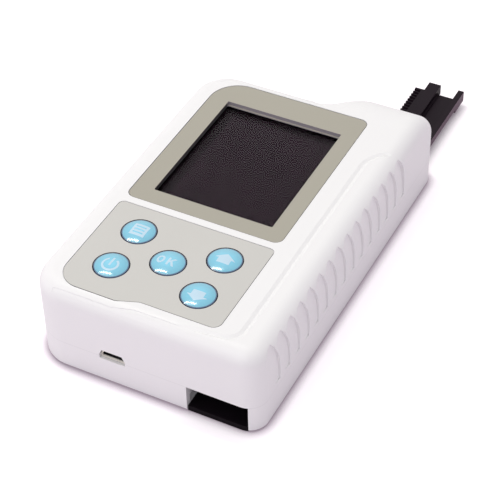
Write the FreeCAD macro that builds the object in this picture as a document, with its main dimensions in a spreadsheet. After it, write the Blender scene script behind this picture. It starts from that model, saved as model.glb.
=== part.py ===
import FreeCAD, Part
import math
import os
import re

import Sketcher

# Handheld urine analyzer, in millimetres.
# The datum is the front left bottom corner of the case: X to the right, Y to the back, Z up.
# Each piece is drawn from that corner, and its Placement then takes it to the row's origin,
# the middle of the base.

V = FreeCAD.Vector
DOC = FreeCAD.newDocument("urine_analyzer")

# Driving dimensions
SIZES = {
    # case
    "case_width": 73.5,
    "case_length": 126.0,
    "case_height": 29.5,
    "parting_height": 9.7,
    "wall": 2.0,
    "left_back": 112.2,
    "step_start": 42.0,
    "step_end": 53.5,
    "left_corner": 11.3,
    "right_corner": 5.8,
    "step_radius": 9.0,
    "crown": 4.9,
    "base_bevel": 0.8,
    "inner_bevel": 1.6,
    "rear_crown": 18.0,
    "rear_crown_start": 110.5,
    "lip_height": 1.1,
    "lip_inset": 1.05,
    "lip_gap": 0.1,
    # ribs
    "rib_bottom": 22.0,
    "rib_right": 59.0,
    "rib_front": 42.2,
    "rib_thick": 1.0,
    "fence_left": 49.7,
    "fence_front": 14.0,
    "fence_back": 84.0,
    "fence_top": 6.0,
    # screen
    "bezel_left": 7.5,
    "bezel_right": 58.0,
    "bezel_front": 44.5,
    "bezel_back": 107.2,
    "bezel_seat": 28.2,
    "bezel_gap": 0.2,
    "bezel_top": 29.4,
    "bezel_big_corner": 9.5,
    "bezel_corner": 2.5,
    "window_left": 13.85,
    "window_right": 52.85,
    "window_front": 50.1,
    "window_back": 97.3,
    "window_ledge": 0.45,
    "window_ledge_height": 28.1,
    "window_corner": 0.5,
    "collar_margin": 1.7,
    "pane_margin": 1.5,
    "pane_bottom": 27.0,
    "pane_top": 27.8,
    "panel_left": 11.9,
    "panel_right": 54.7,
    "panel_front": 46.4,
    "panel_back": 103.6,
    "panel_bottom": 24.5,
    "panel_top": 26.9,
    "bracket_wall": 1.1,
    "bracket_ledge": 1.6,
    # keypad
    "overlay_left": 7.7,
    "overlay_right": 58.1,
    "overlay_front": 4.2,
    "overlay_jog": 6.6,
    "overlay_back": 41.6,
    "jog_start": 27.5,
    "jog_end": 34.0,
    "jog_round": 3.0,
    "overlay_seat": 29.15,
    "overlay_thick": 0.3,
    "overlay_gap": 0.2,
    "overlay_corner": 1.6,
    "overlay_front_right": 2.6,
    "overlay_front_left": 7.0,
    "key_column_left": 19.3,
    "key_column_middle": 33.25,
    "key_column_right": 47.15,
    "key_row_front": 16.0,
    "key_row_middle": 23.8,
    "key_row_back": 31.7,
    "key_radius": 5.05,
    "key_hole": 5.42,
    "key_flange": 6.0,
    "key_flange_bottom": 26.3,
    "key_flange_thick": 0.9,
    "key_edge": 29.45,
    "key_top": 30.35,
    "key_stem": 1.6,
    "key_stem_bottom": 24.7,
    # boards
    "board_thick": 1.6,
    "display_board_bottom": 19.0,
    "display_board_left": 12.2,
    "display_board_right": 55.2,
    "display_board_front": 8.8,
    "display_board_back": 104.0,
    "switch_side": 6.0,
    "switch_height": 2.4,
    "switch_button": 1.7,
    "switch_button_height": 1.25,
    "main_board_bottom": 7.6,
    "main_board_left": 11.5,
    "main_board_right": 49.5,
    "main_board_front": 9.0,
    "main_board_back": 84.0,
    "tongue_left": 20.0,
    "tongue_right": 35.5,
    "tongue_front": 2.7,
    "battery_left": 17.4,
    "battery_right": 43.4,
    "battery_front": 18.0,
    "battery_back": 76.0,
    "battery_bottom": 2.2,
    "battery_top": 7.2,
    "battery_corner": 2.0,
    # charging socket
    "socket_middle": 27.3,
    "socket_bottom": 9.25,
    "socket_height": 2.6,
    "socket_half_wide": 3.8,
    "socket_half_narrow": 2.9,
    "socket_front": 0.7,
    "socket_depth": 5.4,
    "socket_skin": 0.3,
    "socket_gap": 0.35,
    # bosses and screws
    "boss_radius": 2.8,
    "boss_bore": 1.02,
    "boss_left": 7.5,
    "boss_front": 12.0,
    "boss_back": 100.0,
    "boss_right": 46.8,
    "boss_right_front": 5.2,
    "boss_rear": 37.0,
    "boss_rear_back": 107.8,
    "screw_radius": 1.0,
    "screw_head": 2.0,
    "screw_head_height": 1.5,
    "screw_sink": 2.2,
    "screw_length": 14.0,
    "post_radius": 2.0,
    "post_bore": 0.82,
    "small_screw": 0.8,
    "small_head": 1.6,
    "small_head_height": 0.9,
    "small_length": 5.0,
    # strip tray
    "tray_left": 52.1,
    "tray_right": 68.6,
    "tray_front": 39.8,
    "tray_plate_back": 162.0,
    "tray_back": 164.8,
    "tray_bottom": 2.0,
    "tray_plate_top": 4.2,
    "tray_rail_top": 5.7,
    "rail_left": 56.0,
    "channel_left": 60.2,
    "channel_right": 66.6,
    "tray_undercut": 0.6,
    "tray_undercut_top": 3.2,
    "tray_undercut_back": 157.0,
    "strip_groove": 0.5,
    "strip_groove_inset": 0.6,
    "tile_front": 42.0,
    "tile_length": 6.0,
    # guide
    "tunnel_left": 50.9,
    "tunnel_right": 69.9,
    "guide_gap": 0.1,
    "guide_bottom": 1.25,
    "guide_floor": 1.9,
    "guide_front": 12.0,
    "guide_back": 125.4,
    "guide_ceiling": 5.95,
    "guide_top": 8.2,
    "guide_wall": 0.85,
    "guide_lip": 0.75,
    # drive
    "rack_module": 0.5,
    "rack_teeth": 77,
    "rack_teeth_ahead": 40,
    "rack_width": 2.3,
    "rack_backlash": 0.06,
    "pinion_teeth": 18,
    "pinion_clear": 0.02,
    "drive_axis": 104.0,
    "gear_module": 0.4,
    "gear_teeth": 28,
    "motor_pinion_teeth": 18,
    "gear_clear": 0.04,
    "drive_shaft_radius": 1.0,
    "bearing_gap": 0.03,
    "pinion_left": 52.75,
    "pinion_width": 1.6,
    "gear_left": 45.8,
    "gear_width": 2.0,
    "motor_height": 11.2,
    "motor_radius": 7.2,
    "motor_left": 29.6,
    "motor_right": 42.2,
    "motor_boss": 3.0,
    "motor_shaft_radius": 0.75,
    "bracket_left": 43.2,
    "bracket_thick": 1.0,
    "ear_left": 49.6,
    "ear_half": 4.0,
    "ear_top": 12.0,
    # reader
    "head_left": 57.4,
    "head_right": 69.6,
    "head_front": 84.0,
    "head_back": 100.0,
    "head_bottom": 8.4,
    "head_top": 20.0,
    "strip_middle": 63.4,
    "head_middle": 92.0,
    "sensor_board_thick": 1.2,
    "lamp_radius": 1.5,
    "lamp_offset": 5.0,
    # valley in the top and grip scallops
    "valley_depth": 0.45,
    "valley_half": 1.5,
    "valley_front": 4.6,
    "valley_side": 64.8,
    "valley_bend": 86.5,
    "valley_start": 42.0,
    "valley_end": 2.4,
    "valley_corner": 5.0,
    "line_start": 8.6,
    "line_end": 52.0,
    "line_left": 1.7,
    "line_right": 3.0,
    "line_width": 0.9,
    "line_depth": 0.16,
    "scallop_first": 13.4,
    "scallop_pitch": 6.2,
    "scallop_count": 15,
    "scallop_arc": 22.8,
    "scallop_centre": 14.5,
    "scallop_depth": 0.55,
    "scallop_reach": 4.0,
    "scallop_tilt": 2.4,
}

SHEET = DOC.addObject("Spreadsheet::Sheet", "Sheet")
for row, (alias, size) in enumerate(SIZES.items(), start=1):
    SHEET.set(f"A{row}", alias)
    SHEET.set(f"B{row}", str(size))
    SHEET.setAlias(f"B{row}", alias)
DOC.recompute()

FUNCTIONS = ("sqrt", "cos", "sin", "tan", "pi")
WORD = re.compile(r"[a-z][a-z_]*")
PIECES = []


def link(expression):
    """The expression with each size name turned into a reference to the sheet."""
    return WORD.sub(
        lambda found: found.group() if found.group() in FUNCTIONS else "Sheet." + found.group(),
        str(expression),
    )


def value(expression):
    """What an expression of sizes comes to."""
    return float(SHEET.evalExpression(link(expression).replace("Sheet.", "")))


# Sketches


def origin_plane(body, role):
    return next(feature for feature in body.Origin.OriginFeatures if feature.Role == role)


def bind(sketch, constraint, expression):
    index = sketch.addConstraint(constraint)
    name = f"size_{index}"
    sketch.renameConstraint(index, name)
    sketch.setExpression(f"Constraints.{name}", link(expression))


def fix_point(sketch, geometry, vertex, x, y):
    """Hold one point of a sketch at two sizes."""
    if abs(value(x)) < 1e-9:
        sketch.addConstraint(Sketcher.Constraint("PointOnObject", geometry, vertex, -2))
    else:
        bind(sketch, Sketcher.Constraint("DistanceX", -1, 1, geometry, vertex, value(x)), x)
    if abs(value(y)) < 1e-9:
        sketch.addConstraint(Sketcher.Constraint("PointOnObject", geometry, vertex, -1))
    else:
        bind(sketch, Sketcher.Constraint("DistanceY", -1, 1, geometry, vertex, value(y)), y)


def arc_between(middle, first, last, radius):
    """The shorter arc about a middle, always drawn anticlockwise, and which end is first."""
    start = math.atan2(first.y - middle.y, first.x - middle.x)
    end = math.atan2(last.y - middle.y, last.x - middle.x)
    sweep = (end - start) % (2 * math.pi)
    circle = Part.Circle(middle, V(0, 0, 1), radius)
    if sweep < math.pi:
        return Part.ArcOfCircle(circle, start, start + sweep), 1
    return Part.ArcOfCircle(circle, end, end + 2 * math.pi - sweep), 2


def corner_cut(points, index, radius):
    """Where a round of this radius meets the two sides at a corner, and its middle."""
    here = points[index]
    to_last = (points[index - 1] - here).normalize()
    to_next = (points[(index + 1) % len(points)] - here).normalize()
    half = to_last.getAngle(to_next) / 2
    run = radius / math.tan(half)
    middle = here + (to_last + to_next).normalize() * (radius / math.sin(half))
    return here + to_last * run, here + to_next * run, middle


def draw_loop(sketch, corners):
    """A closed loop of straight sides. Each corner is (x, y) or (x, y, radius)."""
    points = [V(value(corner[0]), value(corner[1]), 0) for corner in corners]
    ends = list(points)
    starts = list(points)
    arcs = {}
    for index, corner in enumerate(corners):
        if len(corner) == 3:
            radius = value(corner[2])
            ends[index], starts[index], middle = corner_cut(points, index, radius)
            arcs[index] = arc_between(middle, ends[index], starts[index], radius)
    count = len(corners)
    lines = [
        sketch.addGeometry(Part.LineSegment(starts[i], ends[(i + 1) % count]), False)
        for i in range(count)
    ]
    for index, corner in enumerate(corners):
        last_line = lines[index - 1]
        next_line = lines[index]
        if index not in arcs:
            sketch.addConstraint(Sketcher.Constraint("Coincident", last_line, 2, next_line, 1))
            fix_point(sketch, next_line, 1, corner[0], corner[1])
            continue
        curve, first = arcs[index]
        arc = sketch.addGeometry(curve, False)
        sketch.addConstraint(Sketcher.Constraint("Tangent", last_line, 2, arc, first))
        sketch.addConstraint(Sketcher.Constraint("Tangent", next_line, 1, arc, 3 - first))
        bind(sketch, Sketcher.Constraint("Radius", arc, value(corner[2])), corner[2])
        sharp = sketch.addGeometry(Part.Point(points[index]), True)
        sketch.addConstraint(Sketcher.Constraint("PointOnObject", sharp, 1, last_line))
        sketch.addConstraint(Sketcher.Constraint("PointOnObject", sharp, 1, next_line))
        fix_point(sketch, sharp, 1, corner[0], corner[1])


def draw_circle(sketch, x, y, radius):
    circle = sketch.addGeometry(Part.Circle(V(value(x), value(y), 0), V(0, 0, 1), value(radius)), False)
    bind(sketch, Sketcher.Constraint("Radius", circle, value(radius)), radius)
    fix_point(sketch, circle, 3, x, y)


def box_loop(x_low, y_low, x_high, y_high, radius=None):
    """The four corners of a rectangle, rounded or not."""
    corners = [(x_low, y_low), (x_high, y_low), (x_high, y_high), (x_low, y_high)]
    return corners if radius is None else [(x, y, radius) for x, y in corners]


def new_sketch(body, plane, level, loops):
    """Loops on a plane of the body's origin, moved to a level along X, Y or Z."""
    sketch = body.newObject("Sketcher::SketchObject", body.Label + "_sketch")
    sketch.AttachmentSupport = [(origin_plane(body, plane), "")]
    sketch.MapMode = "FlatFace"
    sign = "-1 * " if plane == "XZ_Plane" else ""
    sketch.setExpression("AttachmentOffset.Base.z", sign + "(" + link(level) + ")")
    for loop in loops:
        if isinstance(loop, tuple):
            draw_circle(sketch, *loop)
        else:
            draw_loop(sketch, loop)
    return sketch


def grow(body, plane, level, length, *loops):
    """Pad loops from a level, in the positive direction of that axis."""
    pad = body.newObject("PartDesign::Pad", body.Label + "_pad")
    pad.Profile = new_sketch(body, plane, level, loops)
    pad.setExpression("Length", link(length))
    pad.Reversed = plane == "XZ_Plane"
    body.Tip = pad
    return pad


def carve(body, plane, level, length, *loops):
    """Pocket loops from a level, in the positive direction of that axis."""
    pocket = body.newObject("PartDesign::Pocket", body.Label + "_pocket")
    pocket.Profile = new_sketch(body, plane, level, loops)
    pocket.setExpression("Length", link(length))
    pocket.Reversed = plane != "XZ_Plane"
    body.Tip = pocket
    return pocket


def round_edges(body, wanted, radius):
    """Fillet the edges of the body so far that a test picks."""
    DOC.recompute()
    tip = body.Tip
    names = [f"Edge{i}" for i, edge in enumerate(tip.Shape.Edges, start=1) if wanted(edge)]
    fillet = body.newObject("PartDesign::Fillet", body.Label + "_fillet")
    fillet.Base = (tip, names)
    fillet.setExpression("Radius", link(radius))
    body.Tip = fillet
    return fillet


def bevel_edges(body, wanted, size):
    """Chamfer the edges of the body so far that a test picks."""
    DOC.recompute()
    tip = body.Tip
    names = [f"Edge{i}" for i, edge in enumerate(tip.Shape.Edges, start=1) if wanted(edge)]
    bevel = body.newObject("PartDesign::Chamfer", body.Label + "_bevel")
    bevel.Base = (tip, names)
    bevel.setExpression("Size", link(size))
    body.Tip = bevel
    return bevel


def hollow(body, tool):
    """Take another body away from this one."""
    cut = body.newObject("PartDesign::Boolean", body.Label + "_hollow")
    cut.setObjects([tool])
    cut.Type = "Cut"
    body.Tip = cut
    return cut


def new_body(label):
    body = DOC.addObject("PartDesign::Body", label)
    body.Label = label
    return body


def keep(piece, label):
    """Name a finished piece and move it from the datum corner to the row's origin."""
    piece.Label = label
    piece.setExpression("Placement.Base.x", link("-case_width / 2"))
    piece.setExpression("Placement.Base.y", link("-case_length / 2"))
    PIECES.append(piece)
    return piece


def plate(label, low, high, *loops):
    """A flat piece between two heights."""
    body = new_body(label)
    grow(body, "XY_Plane", low, f"{high} - {low}", *loops)
    return keep(body, label)


def rod(label, axis, radius, x, y, z, length):
    """A cylinder along X or Z from a point."""
    cylinder = DOC.addObject("Part::Cylinder", label)
    cylinder.setExpression("Radius", link(radius))
    cylinder.setExpression("Height", link(length))
    cylinder.setExpression("Placement.Base.x", link(x))
    cylinder.setExpression("Placement.Base.y", link(y))
    cylinder.setExpression("Placement.Base.z", link(z))
    if axis == "X":
        cylinder.Placement.Rotation = FreeCAD.Rotation(V(0, 1, 0), 90)
    return cylinder


def block(label, x, y, z, length, width, height):
    box = DOC.addObject("Part::Box", label)
    box.setExpression("Length", link(length))
    box.setExpression("Width", link(width))
    box.setExpression("Height", link(height))
    box.setExpression("Placement.Base.x", link(x))
    box.setExpression("Placement.Base.y", link(y))
    box.setExpression("Placement.Base.z", link(z))
    return box


def joined(label, shapes):
    fuse = DOC.addObject("Part::MultiFuse", label)
    fuse.Shapes = shapes
    return fuse


def group(label, solids):
    """Like pieces that stay separate solids in one node."""
    compound = DOC.addObject("Part::Compound", label)
    compound.Links = solids
    return keep(compound, label)


# Case


def case_loop(inset):
    """The plan of the case, moved inwards by an inset."""
    big = f"left_corner - {inset}"
    small = f"right_corner - {inset}"
    return [
        (inset, inset, big),
        (f"case_width - {inset}", inset, small),
        (f"case_width - {inset}", f"case_length - {inset}", small),
        (f"step_end + 0.55 * {inset}", f"case_length - {inset}", f"step_radius - {inset}"),
        (f"step_start + 0.45 * {inset}", f"left_back - {inset}", f"step_radius + {inset}"),
        (inset, f"left_back - {inset}", big),
    ]


BOSSES = (
    ("boss_left", "boss_front"),
    ("boss_left", "boss_back"),
    ("boss_right", "boss_right_front"),
    ("boss_rear", "boss_rear_back"),
)
BOARD_POSTS = (("14.5", "13.5"), ("46.3", "13.5"), ("14.5", "80"), ("46.3", "80"))
DISPLAY_POSTS = (("14.7", "23.85"), ("33.25", "12.2"), ("52.3", "23.85"))
KEYS = {
    "list_key": ("key_column_left", "key_row_back"),
    "power_key": ("key_column_left", "key_row_front"),
    "ok_key": ("key_column_middle", "key_row_middle"),
    "up_key": ("key_column_right", "key_row_back"),
    "down_key": ("key_column_right", "key_row_front"),
}


def overlay_loop(margin):
    """The plan of the keypad overlay with its wavy front edge, grown by a margin."""
    return [
        (f"overlay_left - {margin}", f"overlay_front - {margin}", f"overlay_front_left + {margin}"),
        ("jog_start", f"overlay_front - {margin}", "jog_round"),
        ("jog_end", f"overlay_jog - {margin}", "jog_round"),
        (f"overlay_right + {margin}", f"overlay_jog - {margin}", f"overlay_front_right + {margin}"),
        (f"overlay_right + {margin}", f"overlay_back + {margin}", f"overlay_corner + {margin}"),
        (f"overlay_left - {margin}", f"overlay_back + {margin}", f"overlay_corner + {margin}"),
    ]


def bezel_loop(margin):
    """The plan of the screen bezel with its one large corner, grown by a margin."""
    corner = f"bezel_corner + {margin}"
    return [
        (f"bezel_left - {margin}", f"bezel_front - {margin}", corner),
        (f"bezel_right + {margin}", f"bezel_front - {margin}", corner),
        (f"bezel_right + {margin}", f"bezel_back + {margin}", corner),
        (f"bezel_left - {margin}", f"bezel_back + {margin}", f"bezel_big_corner + {margin}"),
    ]


def window_loop(margin):
    return box_loop(
        f"window_left - ({margin})",
        f"window_front - ({margin})",
        f"window_right + ({margin})",
        f"window_back + ({margin})",
        "window_corner",
    )


def socket_loop(gap):
    """The front view of the charging socket, wide side down."""
    low = f"socket_bottom - {gap}"
    high = f"socket_bottom + socket_height + {gap}"
    shoulder = "socket_bottom + 0.45 * socket_height"
    return [
        (f"socket_middle - socket_half_wide - {gap}", low),
        (f"socket_middle + socket_half_wide + {gap}", low),
        (f"socket_middle + socket_half_wide + {gap}", shoulder),
        (f"socket_middle + socket_half_narrow + {gap}", high),
        (f"socket_middle - socket_half_narrow - {gap}", high),
        (f"socket_middle - socket_half_wide - {gap}", shoulder),
    ]


def rear_crown_cut(body, level, curve_radius):
    """Let the top of the rear lobe fall away from a level in one large curve."""
    sketch = new_sketch(body, "YZ_Plane", "-1", [])
    start = value("rear_crown_start")
    top = value(level)
    radius = value(curve_radius)
    centre = V(start, top - radius, 0)
    back = value("case_length")
    drop = centre.y + math.sqrt(radius**2 - (back - start) ** 2)
    curve, low_end = arc_between(centre, V(back, drop, 0), V(start, top, 0), radius)
    arc = sketch.addGeometry(curve, False)
    corners = [V(back, drop, 0), V(back + 1, drop, 0), V(back + 1, top + 1, 0), V(start, top + 1, 0)]
    lines = [
        sketch.addGeometry(Part.LineSegment(a, b), False)
        for a, b in zip(corners, corners[1:] + [V(start, top, 0)])
    ]
    sketch.addConstraint(Sketcher.Constraint("Coincident", arc, low_end, lines[0], 1))
    for last, following in zip(lines, lines[1:]):
        sketch.addConstraint(Sketcher.Constraint("Coincident", last, 2, following, 1))
    sketch.addConstraint(Sketcher.Constraint("Coincident", lines[3], 2, arc, 3 - low_end))
    bind(sketch, Sketcher.Constraint("Radius", arc, radius), curve_radius)
    fix_point(sketch, arc, 3, "rear_crown_start", f"{level} - {curve_radius}")
    fix_point(sketch, lines[1], 2, "case_length + 1", f"{level} + 1")
    sketch.addConstraint(Sketcher.Constraint("Vertical", lines[3]))
    sketch.addConstraint(Sketcher.Constraint("Vertical", lines[1]))
    sketch.addConstraint(Sketcher.Constraint("Horizontal", lines[0]))
    sketch.addConstraint(Sketcher.Constraint("Horizontal", lines[2]))
    bind(sketch, Sketcher.Constraint("DistanceX", -1, 1, arc, 3 - low_end, start), "rear_crown_start")
    bind(sketch, Sketcher.Constraint("DistanceX", -1, 1, arc, low_end, back), "case_length")
    pocket = body.newObject("PartDesign::Pocket", body.Label + "_crown")
    pocket.Profile = sketch
    pocket.setExpression("Length", link("case_width + 2"))
    pocket.Reversed = True
    body.Tip = pocket


def is_vertical(edge):
    first, last = edge.Vertexes[0].Point, edge.Vertexes[-1].Point
    return abs(first.x - last.x) < 1e-6 and abs(first.y - last.y) < 1e-6


def top_edge(edge):
    """An edge of the crown loop: above the parting line, not upright, not the smooth seam."""
    box = edge.BoundBox
    seam = box.YLength < 1e-6 and abs(box.YMin - value("rear_crown_start")) < 1e-3
    return box.ZMin > value("parting_height") + 1 and not is_vertical(edge) and not seam


def bottom_edge(edge):
    return edge.BoundBox.ZMax < 1e-6


def valley(body):
    """The shallow valley that parts the plateau from the grip side and runs out at the front."""
    spine = body.newObject("Sketcher::SketchObject", "valley_path")
    spine.AttachmentSupport = [(origin_plane(body, "XY_Plane"), "")]
    spine.MapMode = "FlatFace"
    spine.setExpression("AttachmentOffset.Base.z", link("case_height"))
    side = value("valley_side")
    bend = value("valley_bend")
    corner = value("valley_corner")
    sweep = value("2 * valley_corner")
    lean = math.radians(62)
    far_end = V(value("valley_start"), value("valley_end"), 0)
    middle = V(side - corner, value("valley_front") + corner, 0)
    reach = middle - far_end
    run_out = math.atan2(reach.y, reach.x) - math.asin(corner / reach.Length)
    turn_start = middle + V(math.sin(run_out), -math.cos(run_out), 0) * corner
    half_turn = (math.pi / 2 + run_out) / 2
    turn_middle = middle + V(math.sin(half_turn), -math.cos(half_turn), 0) * corner
    turn_end = V(side, middle.y, 0)
    bend_start = V(side, bend, 0)
    bend_middle = V(side + sweep * (1 - math.cos(lean / 2)), bend + sweep * math.sin(lean / 2), 0)
    bend_end = V(side + sweep * (1 - math.cos(lean)), bend + sweep * math.sin(lean), 0)
    out = bend_end + V(math.sin(lean), math.cos(lean), 0) * value("case_width - valley_side")
    spine.addGeometry(Part.LineSegment(far_end, turn_start), False)
    spine.addGeometry(Part.Arc(turn_start, turn_middle, turn_end), False)
    spine.addGeometry(Part.LineSegment(turn_end, bend_start), False)
    spine.addGeometry(Part.Arc(bend_start, bend_middle, bend_end), False)
    spine.addGeometry(Part.LineSegment(bend_end, out), False)
    spine.addConstraint([Sketcher.Constraint("Block", index) for index in range(5)])
    section = new_sketch(
        body,
        "YZ_Plane",
        "valley_start",
        [
            [
                ("valley_end - valley_half", "case_height + 0.2"),
                ("valley_end", "case_height - valley_depth"),
                ("valley_end + valley_half", "case_height + 0.2"),
            ]
        ],
    )
    pipe = body.newObject("PartDesign::SubtractivePipe", body.Label + "_valley")
    pipe.Profile = section
    pipe.Spine = spine
    body.Tip = pipe


def scallops():
    """Curved, saw-toothed grip cuts: each deepens to a curved step and fades downwards."""
    tools = []
    for index in range(SIZES["scallop_count"]):
        step = f"scallop_first + {index} * scallop_pitch"
        disc = DOC.addObject("Part::Cylinder", f"scallop_disc_{index}")
        ramp = DOC.addObject("Part::Cone", f"scallop_ramp_{index}")
        disc.setExpression("Radius", link("scallop_arc"))
        disc.setExpression("Height", link("scallop_depth * 3"))
        ramp.setExpression("Radius1", link("scallop_arc"))
        ramp.setExpression("Radius2", link("scallop_arc - 3 * scallop_reach"))
        ramp.setExpression("Height", link("scallop_depth * 3"))
        for shape in (disc, ramp):
            shape.Angle = 46
            turn = FreeCAD.Rotation(V(0, 1, 0), 90 - value("scallop_tilt"))
            start = FreeCAD.Rotation(V(0, 0, 1), 90 - 8)
            shape.Placement.Rotation = turn.multiply(start)
            shape.setExpression("Placement.Base.x", link("case_width - scallop_depth"))
            shape.setExpression("Placement.Base.y", link(f"{step} - scallop_arc"))
            shape.setExpression("Placement.Base.z", link("scallop_centre"))
        tool = DOC.addObject("Part::Cut", f"scallop_tool_{index}")
        tool.Base = disc
        tool.Tool = ramp
        tools.append(tool)
    return joined("scallop_tools", tools)


def crowned_block(label, inset, low, top, curve_radius):
    """The form of the case above a level, moved inwards by an inset, with its rear curve."""
    body = new_body(label)
    grow(body, "XY_Plane", low, f"{top} - ({low})", case_loop(inset))
    rear_crown_cut(body, top, curve_radius)
    return body


def front_line(form):
    """A fine line that follows the wavy front of the keypad over the front crown."""
    band = new_body("front_line_band")
    low = "line_left - line_width / 2"
    high = "line_left + line_width / 2"
    rise = "line_right - line_left"
    loop = [
        ("line_start", low),
        ("jog_start", low, "jog_round"),
        ("jog_end", f"{low} + {rise}", "jog_round"),
        ("line_end", f"{low} + {rise}"),
        ("line_end", f"{high} + {rise}"),
        ("jog_end", f"{high} + {rise}", "jog_round"),
        ("jog_start", high, "jog_round"),
        ("line_start", high),
    ]
    grow(band, "XY_Plane", "case_height - crown", "crown + 1", loop)
    skin = DOC.addObject("Part::MultiCommon", "front_line_skin")
    skin.Shapes = [band, form]
    lowered = DOC.addObject("Part::Compound", "front_line_floor")
    lowered.Links = [form]
    lowered.setExpression("Placement.Base.z", link("-line_depth"))
    tool = DOC.addObject("Part::Cut", "front_line_tool")
    tool.Base = skin
    tool.Tool = lowered
    return tool


def upper_housing():
    form = crowned_block("case_form", "0", "parting_height", "case_height", "rear_crown")
    round_edges(form, top_edge, "crown")
    hollow_low = "(parting_height - 1)"
    hollow_top = "(case_height - wall)"
    cavity = crowned_block("upper_housing_cavity", "wall", hollow_low, hollow_top, "(rear_crown - wall)")
    bevel_edges(cavity, top_edge, "inner_bevel")
    body = new_body("upper_housing_shell")
    base = body.newObject("PartDesign::FeatureBase", "upper_housing_form")
    base.BaseFeature = form
    body.Tip = base
    hollow(body, cavity)
    lip_seat = case_loop("(lip_inset - lip_gap)")
    carve(body, "XY_Plane", "parting_height - 1", "lip_height + lip_gap + 1", lip_seat)
    for x, y in BOSSES:
        grow(
            body,
            "XY_Plane",
            "parting_height + lip_height",
            "case_height - wall / 2 - parting_height - lip_height",
            (x, y, "boss_radius"),
        )
        carve(body, "XY_Plane", "parting_height", "screw_length - 4", (x, y, "boss_bore"))
    for x, y in DISPLAY_POSTS:
        low = "(display_board_bottom + board_thick)"
        grow(body, "XY_Plane", low, f"case_height - wall / 2 - {low}", (x, y, "post_radius"))
        carve(body, "XY_Plane", low, "small_length", (x, y, "post_bore"))
    rib = box_loop("wall / 2", "rib_front", "rib_right", "rib_front + rib_thick")
    grow(body, "XY_Plane", "rib_bottom", "case_height - wall / 2 - rib_bottom", rib)
    carve(body, "XY_Plane", "bezel_seat", "5", bezel_loop("bezel_gap"))
    carve(body, "XY_Plane", "case_height - wall - 2", "6", window_loop("(pane_margin + 0.5)"))
    carve(body, "XY_Plane", "overlay_seat", "5", overlay_loop("overlay_gap"))
    for x, y in KEYS.values():
        carve(body, "XY_Plane", "case_height - wall - 1", "6", (x, y, "key_hole"))
    carve(body, "XZ_Plane", "-1", "wall + 2", socket_loop("socket_gap"))
    valley(body)
    cut = DOC.addObject("Part::Cut", "upper_housing")
    cut.Base = body
    cut.Tool = joined("upper_housing_marks", [scallops(), front_line(form)])
    return keep(cut, "upper_housing")


def lower_housing():
    body = new_body("lower_housing")
    grow(body, "XY_Plane", "0", "parting_height", case_loop("0"))
    bevel_edges(body, bottom_edge, "base_bevel")
    carve(body, "XY_Plane", "wall", "parting_height", case_loop("wall"))
    grow(body, "XY_Plane", "parting_height - 1", "lip_height + 1", case_loop("lip_inset"), case_loop("wall"))
    boss_top = "parting_height + lip_height - lip_gap"
    for x, y in BOSSES:
        grow(body, "XY_Plane", "wall / 2", f"{boss_top} - wall / 2", (x, y, "boss_radius"))
    for x, y in BOARD_POSTS:
        grow(body, "XY_Plane", "wall / 2", "main_board_bottom - wall / 2", (x, y, "post_radius"))
        carve(body, "XY_Plane", "wall", "main_board_bottom", (x, y, "post_bore"))
    fence = box_loop("fence_left", "fence_front", "fence_left + rib_thick", "fence_back")
    grow(body, "XY_Plane", "wall / 2", "fence_top - wall / 2", fence)
    carve(body, "XY_Plane", "-1", "screw_sink + 1", *[(x, y, "screw_head + 0.3") for x, y in BOSSES])
    carve(body, "XY_Plane", "screw_sink - 0.1", "20", *[(x, y, "screw_radius + 0.2") for x, y in BOSSES])
    carve(
        body,
        "XY_Plane",
        "guide_bottom - 0.05",
        "20",
        box_loop("tunnel_left", "-1", "tunnel_right", "case_length + 1"),
    )
    carve(body, "XY_Plane", "-1", "5", box_loop("tunnel_left", "-1", "tunnel_right", "guide_front"))
    carve(body, "XZ_Plane", "-1", "wall + 2", socket_loop("socket_gap"))
    return keep(body, "lower_housing")


def case_screws():
    """Self-tapping screws up through the base into the bosses of the top shell."""
    screws = []
    for index, (x, y) in enumerate(BOSSES):
        head_low = "screw_sink - screw_head_height"
        shank_low = "screw_sink - 0.2"
        head = rod(f"case_screw_head_{index}", "Z", "screw_head", x, y, head_low, "screw_head_height")
        shank = rod(f"case_screw_shank_{index}", "Z", "screw_radius", x, y, shank_low, "screw_length")
        screws.append(joined(f"case_screw_{index}", [head, shank]))
    return group("housing_screws", screws)


def small_screws(label, places, seat, upwards):
    """Board screws, heads against the board and shanks in the posts."""
    screws = []
    for index, (x, y) in enumerate(places):
        head_low = f"{seat} - small_head_height" if upwards else seat
        shank_low = f"{seat} - 0.1" if upwards else f"{seat} + 0.1 - small_length"
        head = rod(f"{label}_head_{index}", "Z", "small_head", x, y, head_low, "small_head_height")
        shank = rod(f"{label}_shank_{index}", "Z", "small_screw", x, y, shank_low, "small_length")
        screws.append(joined(f"{label}_{index}", [head, shank]))
    return group(label, screws)


# Screen


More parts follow.
